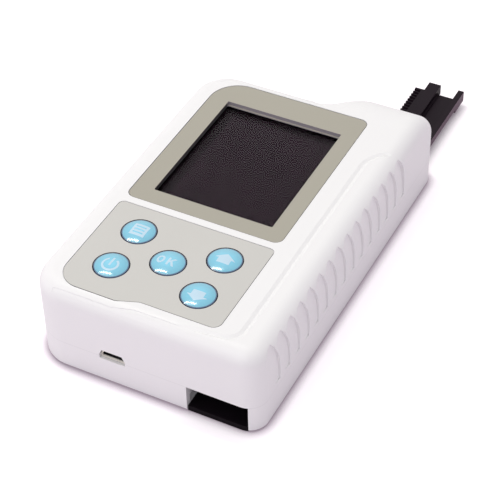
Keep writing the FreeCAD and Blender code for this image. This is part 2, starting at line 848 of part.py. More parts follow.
def screen():
    bezel = new_body("screen_bezel")
    grow(bezel, "XY_Plane", "bezel_seat", "bezel_top - bezel_seat", bezel_loop("0"))
    grow(bezel, "XY_Plane", "pane_top", "bezel_seat - pane_top", window_loop("collar_margin"))
    carve(bezel, "XY_Plane", "pane_top - 1", "5", window_loop("0"))
    ledge = box_loop("window_left", "window_back - 1", "window_right", "window_back + window_ledge")
    carve(bezel, "XY_Plane", "window_ledge_height", "5", ledge)
    keep(bezel, "screen_bezel")
    plate("display_window", "pane_bottom", "pane_top", window_loop("pane_margin"))
    panel = box_loop("panel_left", "panel_front", "panel_right", "panel_back")
    plate("lcd_panel", "panel_bottom", "panel_top", panel)
    bracket = new_body("display_bracket")
    outer = box_loop(
        "panel_left - 0.15 - bracket_wall",
        "panel_front - 0.15 - bracket_wall",
        "panel_right + 0.15 + bracket_wall",
        "panel_back + 0.15 + bracket_wall",
        "bracket_wall",
    )
    board_top = "(display_board_bottom + board_thick)"
    grow(bracket, "XY_Plane", board_top, f"panel_top - {board_top}", outer)
    seat = box_loop("panel_left - 0.15", "panel_front - 0.15", "panel_right + 0.15", "panel_back + 0.15")
    carve(bracket, "XY_Plane", "panel_bottom", "5", seat)
    inside = box_loop(
        "panel_left + bracket_ledge",
        "panel_front + bracket_ledge",
        "panel_right - bracket_ledge",
        "panel_back - bracket_ledge",
    )
    carve(bracket, "XY_Plane", board_top + " - 1", "10", inside)
    keep(bracket, "display_bracket")


# Keypad


def keypad():
    holes = [(x, y, "key_hole") for x, y in KEYS.values()]
    plate(
        "keypad_overlay",
        "overlay_seat",
        "(overlay_seat + overlay_thick)",
        overlay_loop("0"),
        *holes,
    )
    for label, (x, y) in KEYS.items():
        key(label, x, y)
    switches = []
    board_top = "(display_board_bottom + board_thick)"
    for index, (x, y) in enumerate(KEYS.values()):
        half = "switch_side / 2"
        case = block(
            f"switch_case_{index}",
            f"{x} - {half}",
            f"{y} - {half}",
            board_top,
            "switch_side",
            "switch_side",
            "switch_height",
        )
        low = f"{board_top} + switch_height - 0.1"
        button = rod(
            f"switch_button_{index}", "Z", "switch_button", x, y, low, "switch_button_height + 0.1"
        )
        switches.append(joined(f"switch_{index}", [case, button]))
    group("key_switches", switches)


def key(label, x, y):
    """A domed cap with a flange that stops it under the top shell, and a stem to its switch."""
    cap_low = "key_flange_bottom + key_flange_thick - 0.1"
    cap = rod(label + "_cap", "Z", "key_radius", x, y, cap_low, f"key_top - ({cap_low})")
    dome_radius = "((key_radius ^ 2 + (key_top - key_edge) ^ 2) / (2 * (key_top - key_edge)))"
    dome = DOC.addObject("Part::Sphere", label + "_dome")
    dome.setExpression("Radius", link(dome_radius))
    dome.setExpression("Placement.Base.x", link(x))
    dome.setExpression("Placement.Base.y", link(y))
    dome.setExpression("Placement.Base.z", link(f"key_top - {dome_radius}"))
    dome.Placement.Rotation = FreeCAD.Rotation(V(0, 1, 0), 90)
    crown = DOC.addObject("Part::MultiCommon", label + "_crown")
    crown.Shapes = [cap, dome]
    flange = rod(label + "_flange", "Z", "key_flange", x, y, "key_flange_bottom", "key_flange_thick")
    stem = rod(
        label + "_stem",
        "Z",
        "key_stem",
        x,
        y,
        "key_stem_bottom",
        "key_flange_bottom - key_stem_bottom + 0.1",
    )
    whole = joined(label, [crown, flange, stem])
    for shape in (crown, whole):
        shape.Refine = False
    return keep(whole, label)


# Boards


def boards():
    holes = [(x, y, "small_screw + 0.2") for x, y in DISPLAY_POSTS]
    loop = box_loop(
        "display_board_left",
        "display_board_front",
        "display_board_right",
        "display_board_back",
        "1",
    )
    plate("display_board", "display_board_bottom", "(display_board_bottom + board_thick)", loop, *holes)
    outline = [
        ("tongue_left", "tongue_front"),
        ("tongue_right", "tongue_front"),
        ("tongue_right", "main_board_front"),
        ("main_board_right", "main_board_front"),
        ("main_board_right", "main_board_back"),
        ("main_board_left", "main_board_back"),
        ("main_board_left", "main_board_front"),
        ("tongue_left", "main_board_front"),
    ]
    holes = [(x, y, "small_screw + 0.2") for x, y in BOARD_POSTS]
    plate("main_board", "main_board_bottom", "(main_board_bottom + board_thick)", outline, *holes)
    top = "main_board_bottom + board_thick"
    chips = (
        ("24", "30", "12", "12", "1.4"),
        ("40", "28", "6", "5", "1.2"),
        ("20", "55", "5", "4", "1.5"),
        ("38", "60", "8", "6", "5.2"),
        ("20", "68", "6", "6", "2.4"),
        ("38", "44", "4", "9", "1"),
    )
    group(
        "main_chips",
        [
            block(f"chip_{index}", x, y, top, length, width, height)
            for index, (x, y, length, width, height) in enumerate(chips)
        ],
    )
    cell = box_loop("battery_left", "battery_front", "battery_right", "battery_back", "battery_corner")
    plate("battery", "battery_bottom", "battery_top", cell)
    small_screws("main_board_screws", BOARD_POSTS, "main_board_bottom + board_thick", False)
    small_screws("display_board_screws", DISPLAY_POSTS, "display_board_bottom", True)


def socket():
    shell = new_body("usb_shell")
    grow(shell, "XZ_Plane", "socket_front", "socket_depth", socket_loop("0"))
    carve(shell, "XZ_Plane", "socket_front - 1", "socket_depth + 0.4", socket_loop("(-socket_skin)"))
    keep(shell, "usb_shell")
    tongue = new_body("usb_tongue")
    grow(
        tongue,
        "XZ_Plane",
        "socket_front + 0.5",
        "socket_depth - 1.1",
        box_loop(
            "socket_middle - 1.9",
            "socket_bottom + 1.35",
            "socket_middle + 1.9",
            "socket_bottom + 1.95",
        ),
    )
    keep(tongue, "usb_tongue")


# Strip tray and guide


def strip_tray():
    body = new_body("strip_tray")
    plan = box_loop("tray_left", "tray_front", "tray_right", "tray_plate_back")
    grow(body, "XY_Plane", "tray_bottom", "tray_plate_top - tray_bottom", plan)
    for low, high in (("rail_left", "channel_left"), ("channel_right", "tray_right")):
        rail = box_loop(low, "tray_front", high, "tray_back")
        grow(body, "XY_Plane", "tray_bottom", "tray_rail_top - tray_bottom", rail)
    undercut = box_loop(
        "tray_right - tray_undercut", "tray_front - 1", "tray_right + 1", "tray_undercut_back"
    )
    carve(body, "XY_Plane", "tray_bottom - 1", "tray_undercut_top - tray_bottom + 1", undercut)
    groove = box_loop(
        "channel_left + strip_groove_inset",
        "tile_front + tile_length + 1.5",
        "channel_right - strip_groove_inset",
        "tray_plate_back + 1",
    )
    carve(body, "XY_Plane", "tray_plate_top - strip_groove", "3", groove)
    tile_seat = box_loop(
        "channel_left + 0.6", "tile_front", "channel_right - 0.6", "tile_front + tile_length"
    )
    carve(body, "XY_Plane", "tray_plate_top - 0.6", "3", tile_seat)
    pitch = "pi * rack_module"
    middle = f"(drive_axis - rack_teeth_ahead * {pitch})"
    half = f"({pitch} / 4 + rack_backlash / 2)"
    slope = f"{math.tan(math.radians(20)):.5f}"
    root = "(1.3 * rack_module)"
    gap = [
        (f"{middle} - {half} - {slope} * (rack_module + 0.4)", "tray_plate_top + 0.4"),
        (f"{middle} - {half} + {slope} * {root}", f"tray_plate_top - rack_module - {root}"),
        (f"{middle} + {half} - {slope} * {root}", f"tray_plate_top - rack_module - {root}"),
        (f"{middle} + {half} + {slope} * (rack_module + 0.4)", "tray_plate_top + 0.4"),
    ]
    tooth_gap = carve(body, "YZ_Plane", "tray_left - 1", "rack_width + 1", gap)
    rack = body.newObject("PartDesign::LinearPattern", "strip_tray_rack")
    rack.Originals = [tooth_gap]
    rack.Direction = (origin_plane(body, "Y_Axis"), [""])
    rack.Occurrences = SIZES["rack_teeth"]
    rack.setExpression("Length", link(f"(rack_teeth - 1) * {pitch}"))
    body.Tip = rack
    keep(body, "strip_tray")
    tile = box_loop(
        "channel_left + 0.7", "tile_front + 0.1", "channel_right - 0.7", "tile_front + tile_length - 0.1"
    )
    plate("reference_tile", "(tray_plate_top - 0.6)", "(tray_plate_top + 0.2)", tile)


def tray_guide():
    body = new_body("tray_guide_channel")
    left = "(tunnel_left + guide_gap)"
    right = "(tunnel_right - guide_gap)"
    plan = box_loop(left, "guide_front - 1", right, "guide_back")
    grow(body, "XY_Plane", "guide_bottom", "guide_top - guide_bottom", plan)
    tongue = box_loop(left, "0.4", right, "guide_front - guide_gap")
    grow(body, "XY_Plane", "0.05", "guide_floor - 0.05", tongue)
    ear = box_loop("ear_left", "drive_axis - ear_half", f"{left} + 1.3", "drive_axis + ear_half", "0.8")
    grow(body, "XY_Plane", "guide_ceiling", "ear_top - guide_ceiling", ear)
    channel = [
        (f"{left} + guide_wall", "guide_floor"),
        (f"{right} - guide_wall", "guide_floor"),
        (f"{right} - guide_wall", "guide_ceiling"),
        (f"{right} - guide_wall - guide_lip", "guide_ceiling"),
        (f"{right} - guide_wall - guide_lip", "guide_top + 1"),
        (f"{left} + guide_wall + guide_lip", "guide_top + 1"),
        (f"{left} + guide_wall + guide_lip", "guide_ceiling"),
        (f"{left} + guide_wall", "guide_ceiling"),
    ]
    carve(body, "XZ_Plane", "-1", "case_length + 2", channel)
    shaft = ("drive_axis", PINION_HEIGHT, "drive_shaft_radius + bearing_gap")
    carve(body, "YZ_Plane", "ear_left - 1", "5", shaft)
    outline = new_body("tray_guide_outline")
    grow(outline, "XY_Plane", "0", "case_height", case_loop("0.4"))
    trimmed = DOC.addObject("Part::MultiCommon", "tray_guide")
    trimmed.Shapes = [body, outline]
    return keep(trimmed, "tray_guide")


# Drive

PINION_HEIGHT = "(tray_plate_top - rack_module + rack_module * pinion_teeth / 2 + pinion_clear)"
GEAR_DISTANCE = "(gear_module * (gear_teeth + motor_pinion_teeth) / 2 + gear_clear)"
MOTOR_AXIS = f"(drive_axis - sqrt({GEAR_DISTANCE} ^ 2 - (motor_height - {PINION_HEIGHT}) ^ 2))"


def involute_gear(label, module, teeth, bore, x, y, z, width, turn):
    """A spur gear about X. One tooth points along the angle turn, from +Y towards +Z."""
    size = value(module)
    count = int(value(teeth))
    pitch = size * count / 2
    base = pitch * math.cos(math.radians(20))
    tip = pitch + size
    root = pitch - 1.25 * size
    lean = math.tan(math.radians(20)) - math.radians(20)
    flank = []
    steps = 2
    for step in range(steps + 1):
        radius = max(base, root) + (tip - max(base, root)) * step / steps
        roll = math.sqrt(max((radius / base) ** 2 - 1, 0))
        half = math.pi / (2 * count) + lean - (roll - math.atan(roll))
        flank.append((radius, half))
    points = []
    for tooth in range(count):
        middle = turn + 2 * math.pi * tooth / count
        outline = [(root, -flank[0][1])] + [(r, -h) for r, h in flank]
        outline += [(r, h) for r, h in reversed(flank)] + [(root, flank[0][1])]
        for radius, angle in outline:
            points.append(V(0, radius * math.cos(middle + angle), radius * math.sin(middle + angle)))
    wheel = Part.Face(Part.makePolygon(points + points[:1])).extrude(V(value(width), 0, 0))
    hole = Part.makeCylinder(value(bore), value(width) + 2, V(-1, 0, 0), V(1, 0, 0))
    gear = DOC.addObject("Part::Feature", label + "_teeth")
    gear.Shape = wheel.cut(hole)
    gear.setExpression("Placement.Base.x", link(x))
    gear.setExpression("Placement.Base.y", link(y))
    gear.setExpression("Placement.Base.z", link(z))
    return gear


def hub(label, x, y, z, length, radius, bore):
    outer = rod(label + "_hub", "X", radius, x, y, z, length)
    inner = rod(label + "_hub_bore", "X", bore, f"{x} - 1", y, z, f"{length} + 2")
    cut = DOC.addObject("Part::Cut", label + "_hub_ring")
    cut.Base = outer
    cut.Tool = inner
    return cut


def drive():
    mesh = math.atan2(value(f"motor_height - {PINION_HEIGHT}"), value(f"{MOTOR_AXIS} - drive_axis"))
    pinion = involute_gear(
        "drive_pinion",
        "rack_module",
        "pinion_teeth",
        "drive_shaft_radius",
        "pinion_left",
        "drive_axis",
        PINION_HEIGHT,
        "pinion_width",
        -math.pi / 2,
    )
    keep(group_of_one("drive_pinion", pinion), "drive_pinion")
    wheel = involute_gear(
        "drive_gear",
        "gear_module",
        "gear_teeth",
        "drive_shaft_radius",
        "gear_left",
        "drive_axis",
        PINION_HEIGHT,
        "gear_width",
        mesh,
    )
    boss = hub(
        "drive_gear", "gear_left + gear_width", "drive_axis", PINION_HEIGHT, "1", "2.2", "drive_shaft_radius"
    )
    keep(joined("drive_gear", [wheel, boss]), "drive_gear")
    shaft_start = "(bracket_left - 0.3)"
    shaft = rod(
        "drive_shaft_rod",
        "X",
        "drive_shaft_radius",
        shaft_start,
        "drive_axis",
        PINION_HEIGHT,
        f"pinion_left + pinion_width - {shaft_start}",
    )
    keep(group_of_one("drive_shaft", shaft), "drive_shaft")
    small = involute_gear(
        "motor_pinion",
        "gear_module",
        "motor_pinion_teeth",
        "motor_shaft_radius",
        "gear_left - 0.2",
        MOTOR_AXIS,
        "motor_height",
        "gear_width + 0.4",
        mesh + math.pi + math.pi / value("motor_pinion_teeth"),
    )
    keep(group_of_one("motor_pinion", small), "motor_pinion")
    spindle = rod(
        "motor_shaft_rod",
        "X",
        "motor_shaft_radius",
        "motor_right - 2",
        MOTOR_AXIS,
        "motor_height",
        "gear_left + gear_width - motor_right + 2.2",
    )
    keep(group_of_one("motor_shaft", spindle), "motor_shaft")
    motor()
    motor_bracket()


def group_of_one(label, shape):
    """A piece made of one shape, so that its own Placement stays free for the move."""
    compound = DOC.addObject("Part::Compound", label)
    compound.Links = [shape]
    return compound


def motor():
    body = new_body("drive_motor")
    can = (MOTOR_AXIS, "motor_height", "motor_radius")
    grow(body, "YZ_Plane", "motor_left", "motor_right - motor_left", can)
    boss = (MOTOR_AXIS, "motor_height", "motor_boss")
    grow(body, "YZ_Plane", "motor_right", "bracket_left + bracket_thick - motor_right - 0.1", boss)
    bore = (MOTOR_AXIS, "motor_height", "motor_shaft_radius + bearing_gap")
    carve(body, "YZ_Plane", "motor_right - 2.3", "6", bore)
    ear = box_loop(f"{MOTOR_AXIS} - 9", "motor_height - 2", f"{MOTOR_AXIS} + 9", "motor_height + 2", "1.9")
    grow(body, "YZ_Plane", "motor_right - 0.8", "0.8", ear, bore)
    return keep(body, "drive_motor")


def motor_bracket():
    """A folded plate that carries the motor and the far end of the drive shaft."""
    body = new_body("motor_bracket")
    sheet = box_loop("86.2", "wall", "109", "18.4", "0.9")
    grow(body, "YZ_Plane", "bracket_left", "bracket_thick", sheet)
    foot = box_loop("bracket_left - 9", "88", "bracket_left + bracket_thick", "101")
    grow(body, "XY_Plane", "wall", "bracket_thick", foot)
    boss = (MOTOR_AXIS, "motor_height", "motor_boss + 0.05")
    shaft = ("drive_axis", PINION_HEIGHT, "drive_shaft_radius + bearing_gap")
    carve(body, "YZ_Plane", "bracket_left - 1", "3", boss, shaft)
    return keep(body, "motor_bracket")


# Reader


def reader():
    head = new_body("optical_head")
    plan = box_loop("head_left", "head_front", "head_right", "head_back", "1")
    grow(head, "XY_Plane", "head_bottom", "head_top - head_bottom", plan)
    seat = box_loop("strip_middle - 2.4", "head_middle - 3.5", "strip_middle + 2.4", "head_middle + 3.5")
    carve(head, "XY_Plane", "head_bottom - 1", "2", seat)
    shaft = box_loop("strip_middle - 1.6", "head_middle - 2", "strip_middle + 1.6", "head_middle + 2")
    carve(head, "XY_Plane", "head_bottom - 1", "30", shaft)
    lamp_low = "(head_top - 4.5)"
    lamps = [("strip_middle", f"head_middle + {side} * lamp_offset") for side in (-1, 1)]
    carve(head, "XY_Plane", lamp_low, "10", *[(x, y, "lamp_radius + 0.1") for x, y in lamps])
    keep(head, "optical_head")
    glass = box_loop("strip_middle - 2.3", "head_middle - 3.4", "strip_middle + 2.3", "head_middle + 3.4")
    plate("aperture_glass", "(head_bottom + 0.2)", "(head_bottom + 1)", glass)
    board = box_loop("head_left - 0.4", "head_front - 1.5", "head_right + 0.6", "head_back + 1.5", "1")
    plate("sensor_board", "head_top", "(head_top + sensor_board_thick)", board)
    leds = [
        rod(f"lamp_{index}", "Z", "lamp_radius", x, y, f"{lamp_low} + 0.3", "4.2")
        for index, (x, y) in enumerate(lamps)
    ]
    group("head_lamps", leds)


def check_document():
    """Stop if a feature failed or a cut took nothing away."""
    DOC.recompute()
    for item in DOC.Objects:
        if "Invalid" in item.State or "Error" in item.State:
            raise RuntimeError(f"{item.Name} ({item.Label}) failed: {item.State}")
        if item.TypeId in ("PartDesign::Pocket", "PartDesign::SubtractivePipe"):
            if item.Shape.Volume > item.BaseFeature.Shape.Volume - 1e-3:
                raise RuntimeError(f"{item.Name} cuts nothing")
    for piece in PIECES:
        if piece.Shape.isNull() or not piece.Shape.isValid():
            raise RuntimeError(f"{piece.Label} has no valid shape")


upper_housing()
lower_housing()
case_screws()
screen()
keypad()
boards()
socket()
strip_tray()
tray_guide()
drive()
reader()
check_document()
os.makedirs("parts", exist_ok=True)
for piece in PIECES:
    piece.Shape.exportStep(f"parts/{piece.Label}.step")
    print(piece.Label, len(piece.Shape.Solids), round(piece.Shape.Volume, 1))
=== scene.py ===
import math

import bmesh
import bpy
from bpy.props import FloatProperty, FloatVectorProperty, PointerProperty
from mathutils import Matrix, Vector


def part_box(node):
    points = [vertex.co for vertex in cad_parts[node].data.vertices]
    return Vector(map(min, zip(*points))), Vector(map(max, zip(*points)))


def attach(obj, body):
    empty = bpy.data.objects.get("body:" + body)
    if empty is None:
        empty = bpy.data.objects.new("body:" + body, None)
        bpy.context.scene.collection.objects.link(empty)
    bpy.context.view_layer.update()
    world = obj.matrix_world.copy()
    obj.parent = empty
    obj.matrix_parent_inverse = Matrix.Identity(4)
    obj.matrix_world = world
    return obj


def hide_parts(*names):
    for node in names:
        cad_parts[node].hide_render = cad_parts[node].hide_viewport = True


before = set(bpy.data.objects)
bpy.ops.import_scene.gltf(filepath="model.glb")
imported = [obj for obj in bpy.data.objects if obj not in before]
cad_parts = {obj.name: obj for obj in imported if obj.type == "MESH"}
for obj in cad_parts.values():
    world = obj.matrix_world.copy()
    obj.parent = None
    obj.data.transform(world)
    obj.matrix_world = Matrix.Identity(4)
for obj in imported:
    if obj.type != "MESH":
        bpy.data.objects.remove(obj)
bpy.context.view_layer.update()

bl_info = {
    "name": "Handheld Urine Analyzer",
    "version": (1, 0, 0),
    "blender": (4, 5, 0),
    "location": "View3D > Sidebar > Analyzer",
    "description": "Finishes and printed signs of a handheld strip reader",
    "category": "Object",
}

MM = 0.001
MICRON = 0.000001


def colour(name, description, default):
    return FloatVectorProperty(
        name=name, description=description, default=default, size=3, min=0.0, max=1.0, subtype="COLOR"
    )


def amount(name, description, default, high=1.0):
    return FloatProperty(
        name=name, description=description, default=default, min=0.0, max=high, subtype="FACTOR"
    )


def length(name, description, default):
    return FloatProperty(
        name=name, description=description, default=default, min=0.0, unit="LENGTH", precision=5
    )


class CaseFinish(bpy.types.PropertyGroup):
    """Finish of the moulded white case"""

    shell: colour("Shell", "Moulded plastic of both shells", (0.86, 0.852, 0.862))
    roughness: amount("Roughness", "Satin of the shells", 0.42)
    grain: length("Grain", "Depth of the spark-eroded grain", 6 * MICRON)
    seam: amount("Seam", "How light the parting line is", 0.93)


class ScreenFinish(bpy.types.PropertyGroup):
    """Finish of the bezel and display"""

    bezel: colour("Bezel", "Warm grey frame", (0.386, 0.365, 0.307))
    # Painted shade: the frame's upright faces are near black, so the gaps round the frame read as dark
    # lines
    bezel_side_shade: colour("Bezel side", "Upright faces of the frame", (0.05, 0.045, 0.05))
    # Painted light: the wall behind the window is paler than the other upright faces, as the wall that
    # faces the light
    lit_back_wall: colour("Back wall", "Wall of the frame behind the window", (0.33, 0.3, 0.33))
    display: colour("Display", "Display area when it is off", (0.014, 0.0075, 0.012))
    # The display's real dark edge, plus painted shadow of the bezel walls where it is widened at the
    # left and back
    border_and_wall_shadow: colour("Display border", "Dark rim round the display area", (0.006, 0.003, 0.005))
    pane: colour("Pane", "Tint of the clear window", (0.93, 0.87, 0.91))
    bracket: colour("Bracket", "Black frame behind the display", (0.02, 0.02, 0.02))


class KeypadFinish(bpy.types.PropertyGroup):
    """Finish of the membrane keypad and its keys"""

    overlay: colour("Overlay", "Light grey membrane", (0.585, 0.574, 0.55))
    # Painted shade: the membrane's cut edge is near black, so the gap round the membrane reads as a dark
    # line
    overlay_side_shade: colour("Overlay side", "Cut edge of the membrane", (0.1, 0.095, 0.1))
    key: colour("Key", "Translucent blue of the domes", (0.18, 0.51, 0.67))
    # Painted shade: the slate line stands for the shadow in the gap between key and membrane
    rim: colour("Key rim", "Slate line round each key", (0.09, 0.15, 0.26))
    sign: colour("Sign", "Pale print on the keys", (0.52, 0.70, 0.83))
    sign_proud: length("Sign height", "How far the print stands on the dome", 0.02 * MM)


class SocketFinish(bpy.types.PropertyGroup):
    """Finish of the charging socket"""

    plating: colour("Plating", "Plated sheet of the shell", (0.95, 0.93, 0.86))
    rim: colour("Rim", "Cut edge of the shell at its mouth", (0.85, 0.81, 0.72))
    # Painted shade: near black inside the shell, behind its mouth
    depth: colour("Depth", "Shaded inside of the shell", (0.02, 0.017, 0.02))


class TrayFinish(bpy.types.PropertyGroup):
    """Finish of the strip tray and its guide"""

    tray: colour("Tray", "Black moulding of the tray", (0.0075, 0.0025, 0.0065))
    # Painted reflection: the right rail's outer side is lighter, as the white floor mirrored in it, and
    # is not rubbed
    tray_flank_reflection: colour("Tray flank", "Rubbed outer side of the right rail", (0.13, 0.085, 0.115))
    guide: colour("Guide", "Black moulding of the guide", (0.005, 0.003, 0.005))
    tile: colour("Tile", "White reference tile", (0.85, 0.85, 0.83))


class InsideFinish(bpy.types.PropertyGroup):
    """Finish of what is inside the case"""

    board: colour("Board", "Solder mask of the boards", (0.02, 0.16, 0.07))
    gear: colour("Gear", "Natural white gear plastic", (0.78, 0.76, 0.69))
    metal: colour("Metal", "Plated steel", (0.60, 0.60, 0.61))
    brass: colour("Brass", "Cut brass", (0.78, 0.57, 0.23))
    package: colour("Package", "Black moulded packages", (0.02, 0.02, 0.021))
    lamp: colour("Lamp", "Cast bodies of the reader's lamps", (0.86, 0.86, 0.82))
    aperture: colour("Aperture", "Tint of the reader's window", (0.95, 0.97, 0.97))
    foil: colour("Foil", "Pouch of the cell", (0.72, 0.72, 0.73))


class StageSettings(bpy.types.PropertyGroup):
    """Camera and light"""

    focal_px: FloatProperty(
        name="Focal length", description="In pixels of the square frame", default=1627.95, min=1.0
    )
    distance: length("Distance", "Camera to target", 0.48326)
    azimuth: FloatProperty(
        name="Azimuth", description="Round from the front", default=math.radians(27.698), unit="ROTATION"
    )
    elevation: FloatProperty(
        name="Elevation", description="Above the horizon", default=math.radians(42.227), unit="ROTATION"
    )
    roll: FloatProperty(
        name="Roll", description="About the line of view", default=math.radians(-1.21), unit="ROTATION"
    )
    target: FloatVectorProperty(
        name="Target", description="Where the camera looks", default=(0.00755, -0.00893, 0.015), size=3,
        subtype="TRANSLATION", unit="LENGTH",
    )
    sky: amount("Sky", "Even light from all round", 0.72, high=5.0)
    lamps: FloatProperty(name="Lamps", description="Strength of all lamps", default=1.0, min=0.0)


# Shader groups


class Tree:
    """Adds nodes and links to one node tree."""

    def __init__(self, tree):
        self.tree = tree

    def node(self, kind, **settings):
        node = self.tree.nodes.new(kind)
        for name, setting in settings.items():
            setattr(node, name, setting)
        return node

    def link(self, start, end):
        self.tree.links.new(start, end)

    def math(self, operation, *values):
        node = self.node("ShaderNodeMath", operation=operation)
        self.feed(node, values)
        return node.outputs[0]

    def vector(self, operation, *values):
        node = self.node("ShaderNodeVectorMath", operation=operation)
        self.feed(node, values)
        return node.outputs["Value" if operation in ("LENGTH", "DOT_PRODUCT") else "Vector"]

    def feed(self, node, values):
        for socket, value in zip(node.inputs, values):
            if isinstance(value, bpy.types.NodeSocket):
                self.link(value, socket)
            else:
                socket.default_value = value

    def map_range(self, value, low, high, to_low=0.0, to_high=1.0):
        node = self.node("ShaderNodeMapRange")
        self.feed(node, (value, low, high, to_low, to_high))
        return node.outputs[0]

    def ramp(self, value, softness):
        """0 up to nothing, then rising to 1 over the softness."""
        part = self.math("DIVIDE", value, softness)
        return self.math("MINIMUM", self.math("MAXIMUM", part, 0.0), 1.0)

    def mix(self, factor, first, second, blend="MIX"):
        node = self.node("ShaderNodeMix", data_type="RGBA", blend_type=blend)
        sockets = (node.inputs[0], node.inputs[6], node.inputs[7])
        for socket, value in zip(sockets, (factor, first, second)):
            if isinstance(value, bpy.types.NodeSocket):
                self.link(value, socket)
            else:
                socket.default_value = value if socket == node.inputs[0] else (*value, 1.0)
        return node.outputs[2]

    def noise(self, vector, scale, detail=3.0, roughness=0.5):
        node = self.node("ShaderNodeTexNoise")
        self.link(vector, node.inputs["Vector"])
        if isinstance(scale, bpy.types.NodeSocket):
            self.link(scale, node.inputs["Scale"])
        else:
            node.inputs["Scale"].default_value = scale
        node.inputs["Detail"].default_value = detail
        node.inputs["Roughness"].default_value = roughness
        return node.outputs["Fac"]


def group_tree(name, inputs, outputs):
    """A new shader node group with named sockets."""
    tree = bpy.data.node_groups.new(name, "ShaderNodeTree")
    for socket, kind, default in inputs:
        made = tree.interface.new_socket(socket, in_out="INPUT", socket_type=kind)
        made.default_value = (*default, 1.0) if kind == "NodeSocketColor" else default
    for socket, kind in outputs:
        tree.interface.new_socket(socket, in_out="OUTPUT", socket_type=kind)
    return Tree(tree), tree.nodes.new("NodeGroupInput"), tree.nodes.new("NodeGroupOutput")


def moulded_skin_group():
    """Moulded plastic: faint flow mottling, a fine spark-eroded grain and uneven satin."""
    work, entry, exit_node = group_tree(
        "moulded_skin",
        (
            ("Colour", "NodeSocketColor", (0.8, 0.8, 0.8)),
            ("Mottle", "NodeSocketFloat", 0.02),
            ("Grain Scale", "NodeSocketFloat", 2500.0),
            ("Roughness", "NodeSocketFloat", 0.4),
            ("Roughness Spread", "NodeSocketFloat", 0.06),
        ),
        (("Colour", "NodeSocketColor"), ("Roughness", "NodeSocketFloat"), ("Height", "NodeSocketFloat")),
    )
    place = work.node("ShaderNodeTexCoord").outputs["Object"]
    flow = work.noise(place, 45.0, 4.0, 0.6)
    shade = work.math("MULTIPLY_ADD", work.math("SUBTRACT", flow, 0.5), entry.outputs["Mottle"], 1.0)
    tint = work.vector("SCALE", entry.outputs["Colour"])
    work.link(shade, tint.node.inputs["Scale"])
    work.link(tint, exit_node.inputs["Colour"])
    grain = work.noise(place, entry.outputs["Grain Scale"], 2.0, 0.6)
    handled = work.noise(place, 90.0, 3.0, 0.55)
    spread = work.math(
        "MULTIPLY_ADD", work.math("SUBTRACT", handled, 0.5), entry.outputs["Roughness Spread"],
        entry.outputs["Roughness"],
    )
    work.link(spread, exit_node.inputs["Roughness"])
    work.link(grain, exit_node.inputs["Height"])
    return work.tree


def drawn_metal_group():
    """Rolled or turned metal: fine lines along one direction and soft stains."""
    work, entry, exit_node = group_tree(
        "drawn_metal",
        (
            ("Colour", "NodeSocketColor", (0.6, 0.6, 0.6)),
            ("Line Scale", "NodeSocketFloat", 1800.0),
            ("Roughness", "NodeSocketFloat", 0.3),
        ),
        (("Colour", "NodeSocketColor"), ("Roughness", "NodeSocketFloat"), ("Height", "NodeSocketFloat")),
    )
    place = work.node("ShaderNodeTexCoord").outputs["Object"]
    drawn = work.vector("MULTIPLY", place, (0.06, 1.0, 1.0))
    lines = work.noise(drawn, entry.outputs["Line Scale"], 3.0, 0.7)
    stain = work.noise(place, 160.0, 3.0, 0.5)
    shade = work.map_range(stain, 0.3, 0.7, 0.93, 1.03)
    tint = work.vector("SCALE", entry.outputs["Colour"])
    work.link(shade, tint.node.inputs["Scale"])
    work.link(tint, exit_node.inputs["Colour"])
    work.link(
        work.math("MULTIPLY_ADD", work.math("SUBTRACT", lines, 0.5), 0.18, entry.outputs["Roughness"]),
        exit_node.inputs["Roughness"],
    )
    work.link(lines, exit_node.inputs["Height"])
    return work.tree


def round_rim_group():
    """1 outside a radius about the middle of a round piece seen from above, 0 inside it."""
    work, entry, exit_node = group_tree(
        "round_rim",
        (("Radius", "NodeSocketFloat", 0.8), ("Softness", "NodeSocketFloat", 0.03)),
        (("Mask", "NodeSocketFloat"),),
    )
    place = work.node("ShaderNodeTexCoord").outputs["Generated"]
    flat = work.vector("MULTIPLY", work.vector("SUBTRACT", place, (0.5, 0.5, 0.0)), (2.0, 2.0, 0.0))
    past = work.math("SUBTRACT", work.vector("LENGTH", flat), entry.outputs["Radius"])
    work.link(work.ramp(past, entry.outputs["Softness"]), exit_node.inputs["Mask"])
    return work.tree


def facing_up_group():
    """1 on faces that look up, 0 on upright ones."""
    work, _, exit_node = group_tree("facing_up", (), (("Mask", "NodeSocketFloat"),))
    facet = work.node("ShaderNodeNewGeometry").outputs["True Normal"]
    upward = work.vector("DOT_PRODUCT", facet, (0.0, 0.0, 1.0))
    work.link(work.map_range(upward, 0.3, 0.7), exit_node.inputs["Mask"])
    return work.tree


def band_group():
    """1 within a band along one axis of the row's frame, 0 outside it."""
    work, entry, exit_node = group_tree(
        "band",
        (
            ("Axis", "NodeSocketVector", (0.0, 0.0, 1.0)),
            ("Middle", "NodeSocketFloat", 0.0),
            ("Half Width", "NodeSocketFloat", 0.001),
            ("Softness", "NodeSocketFloat", 0.0001),
        ),
        (("Mask", "NodeSocketFloat"),),
    )
    place = work.node("ShaderNodeTexCoord").outputs["Object"]
    along = work.vector("DOT_PRODUCT", place, entry.outputs["Axis"])
    away = work.math("ABSOLUTE", work.math("SUBTRACT", along, entry.outputs["Middle"]))
    inside = work.math("SUBTRACT", entry.outputs["Half Width"], away)
    work.link(work.ramp(inside, entry.outputs["Softness"]), exit_node.inputs["Mask"])
    return work.tree


GROUPS = {}


def group(name):
    """The shared shader group of that name, built the first time that it is asked for."""
    makers = {
        "moulded_skin": moulded_skin_group,
        "drawn_metal": drawn_metal_group,
        "round_rim": round_rim_group,
        "facing_up": facing_up_group,
        "band": band_group,
    }
    if name not in GROUPS:
        GROUPS[name] = makers[name]()
    return GROUPS[name]


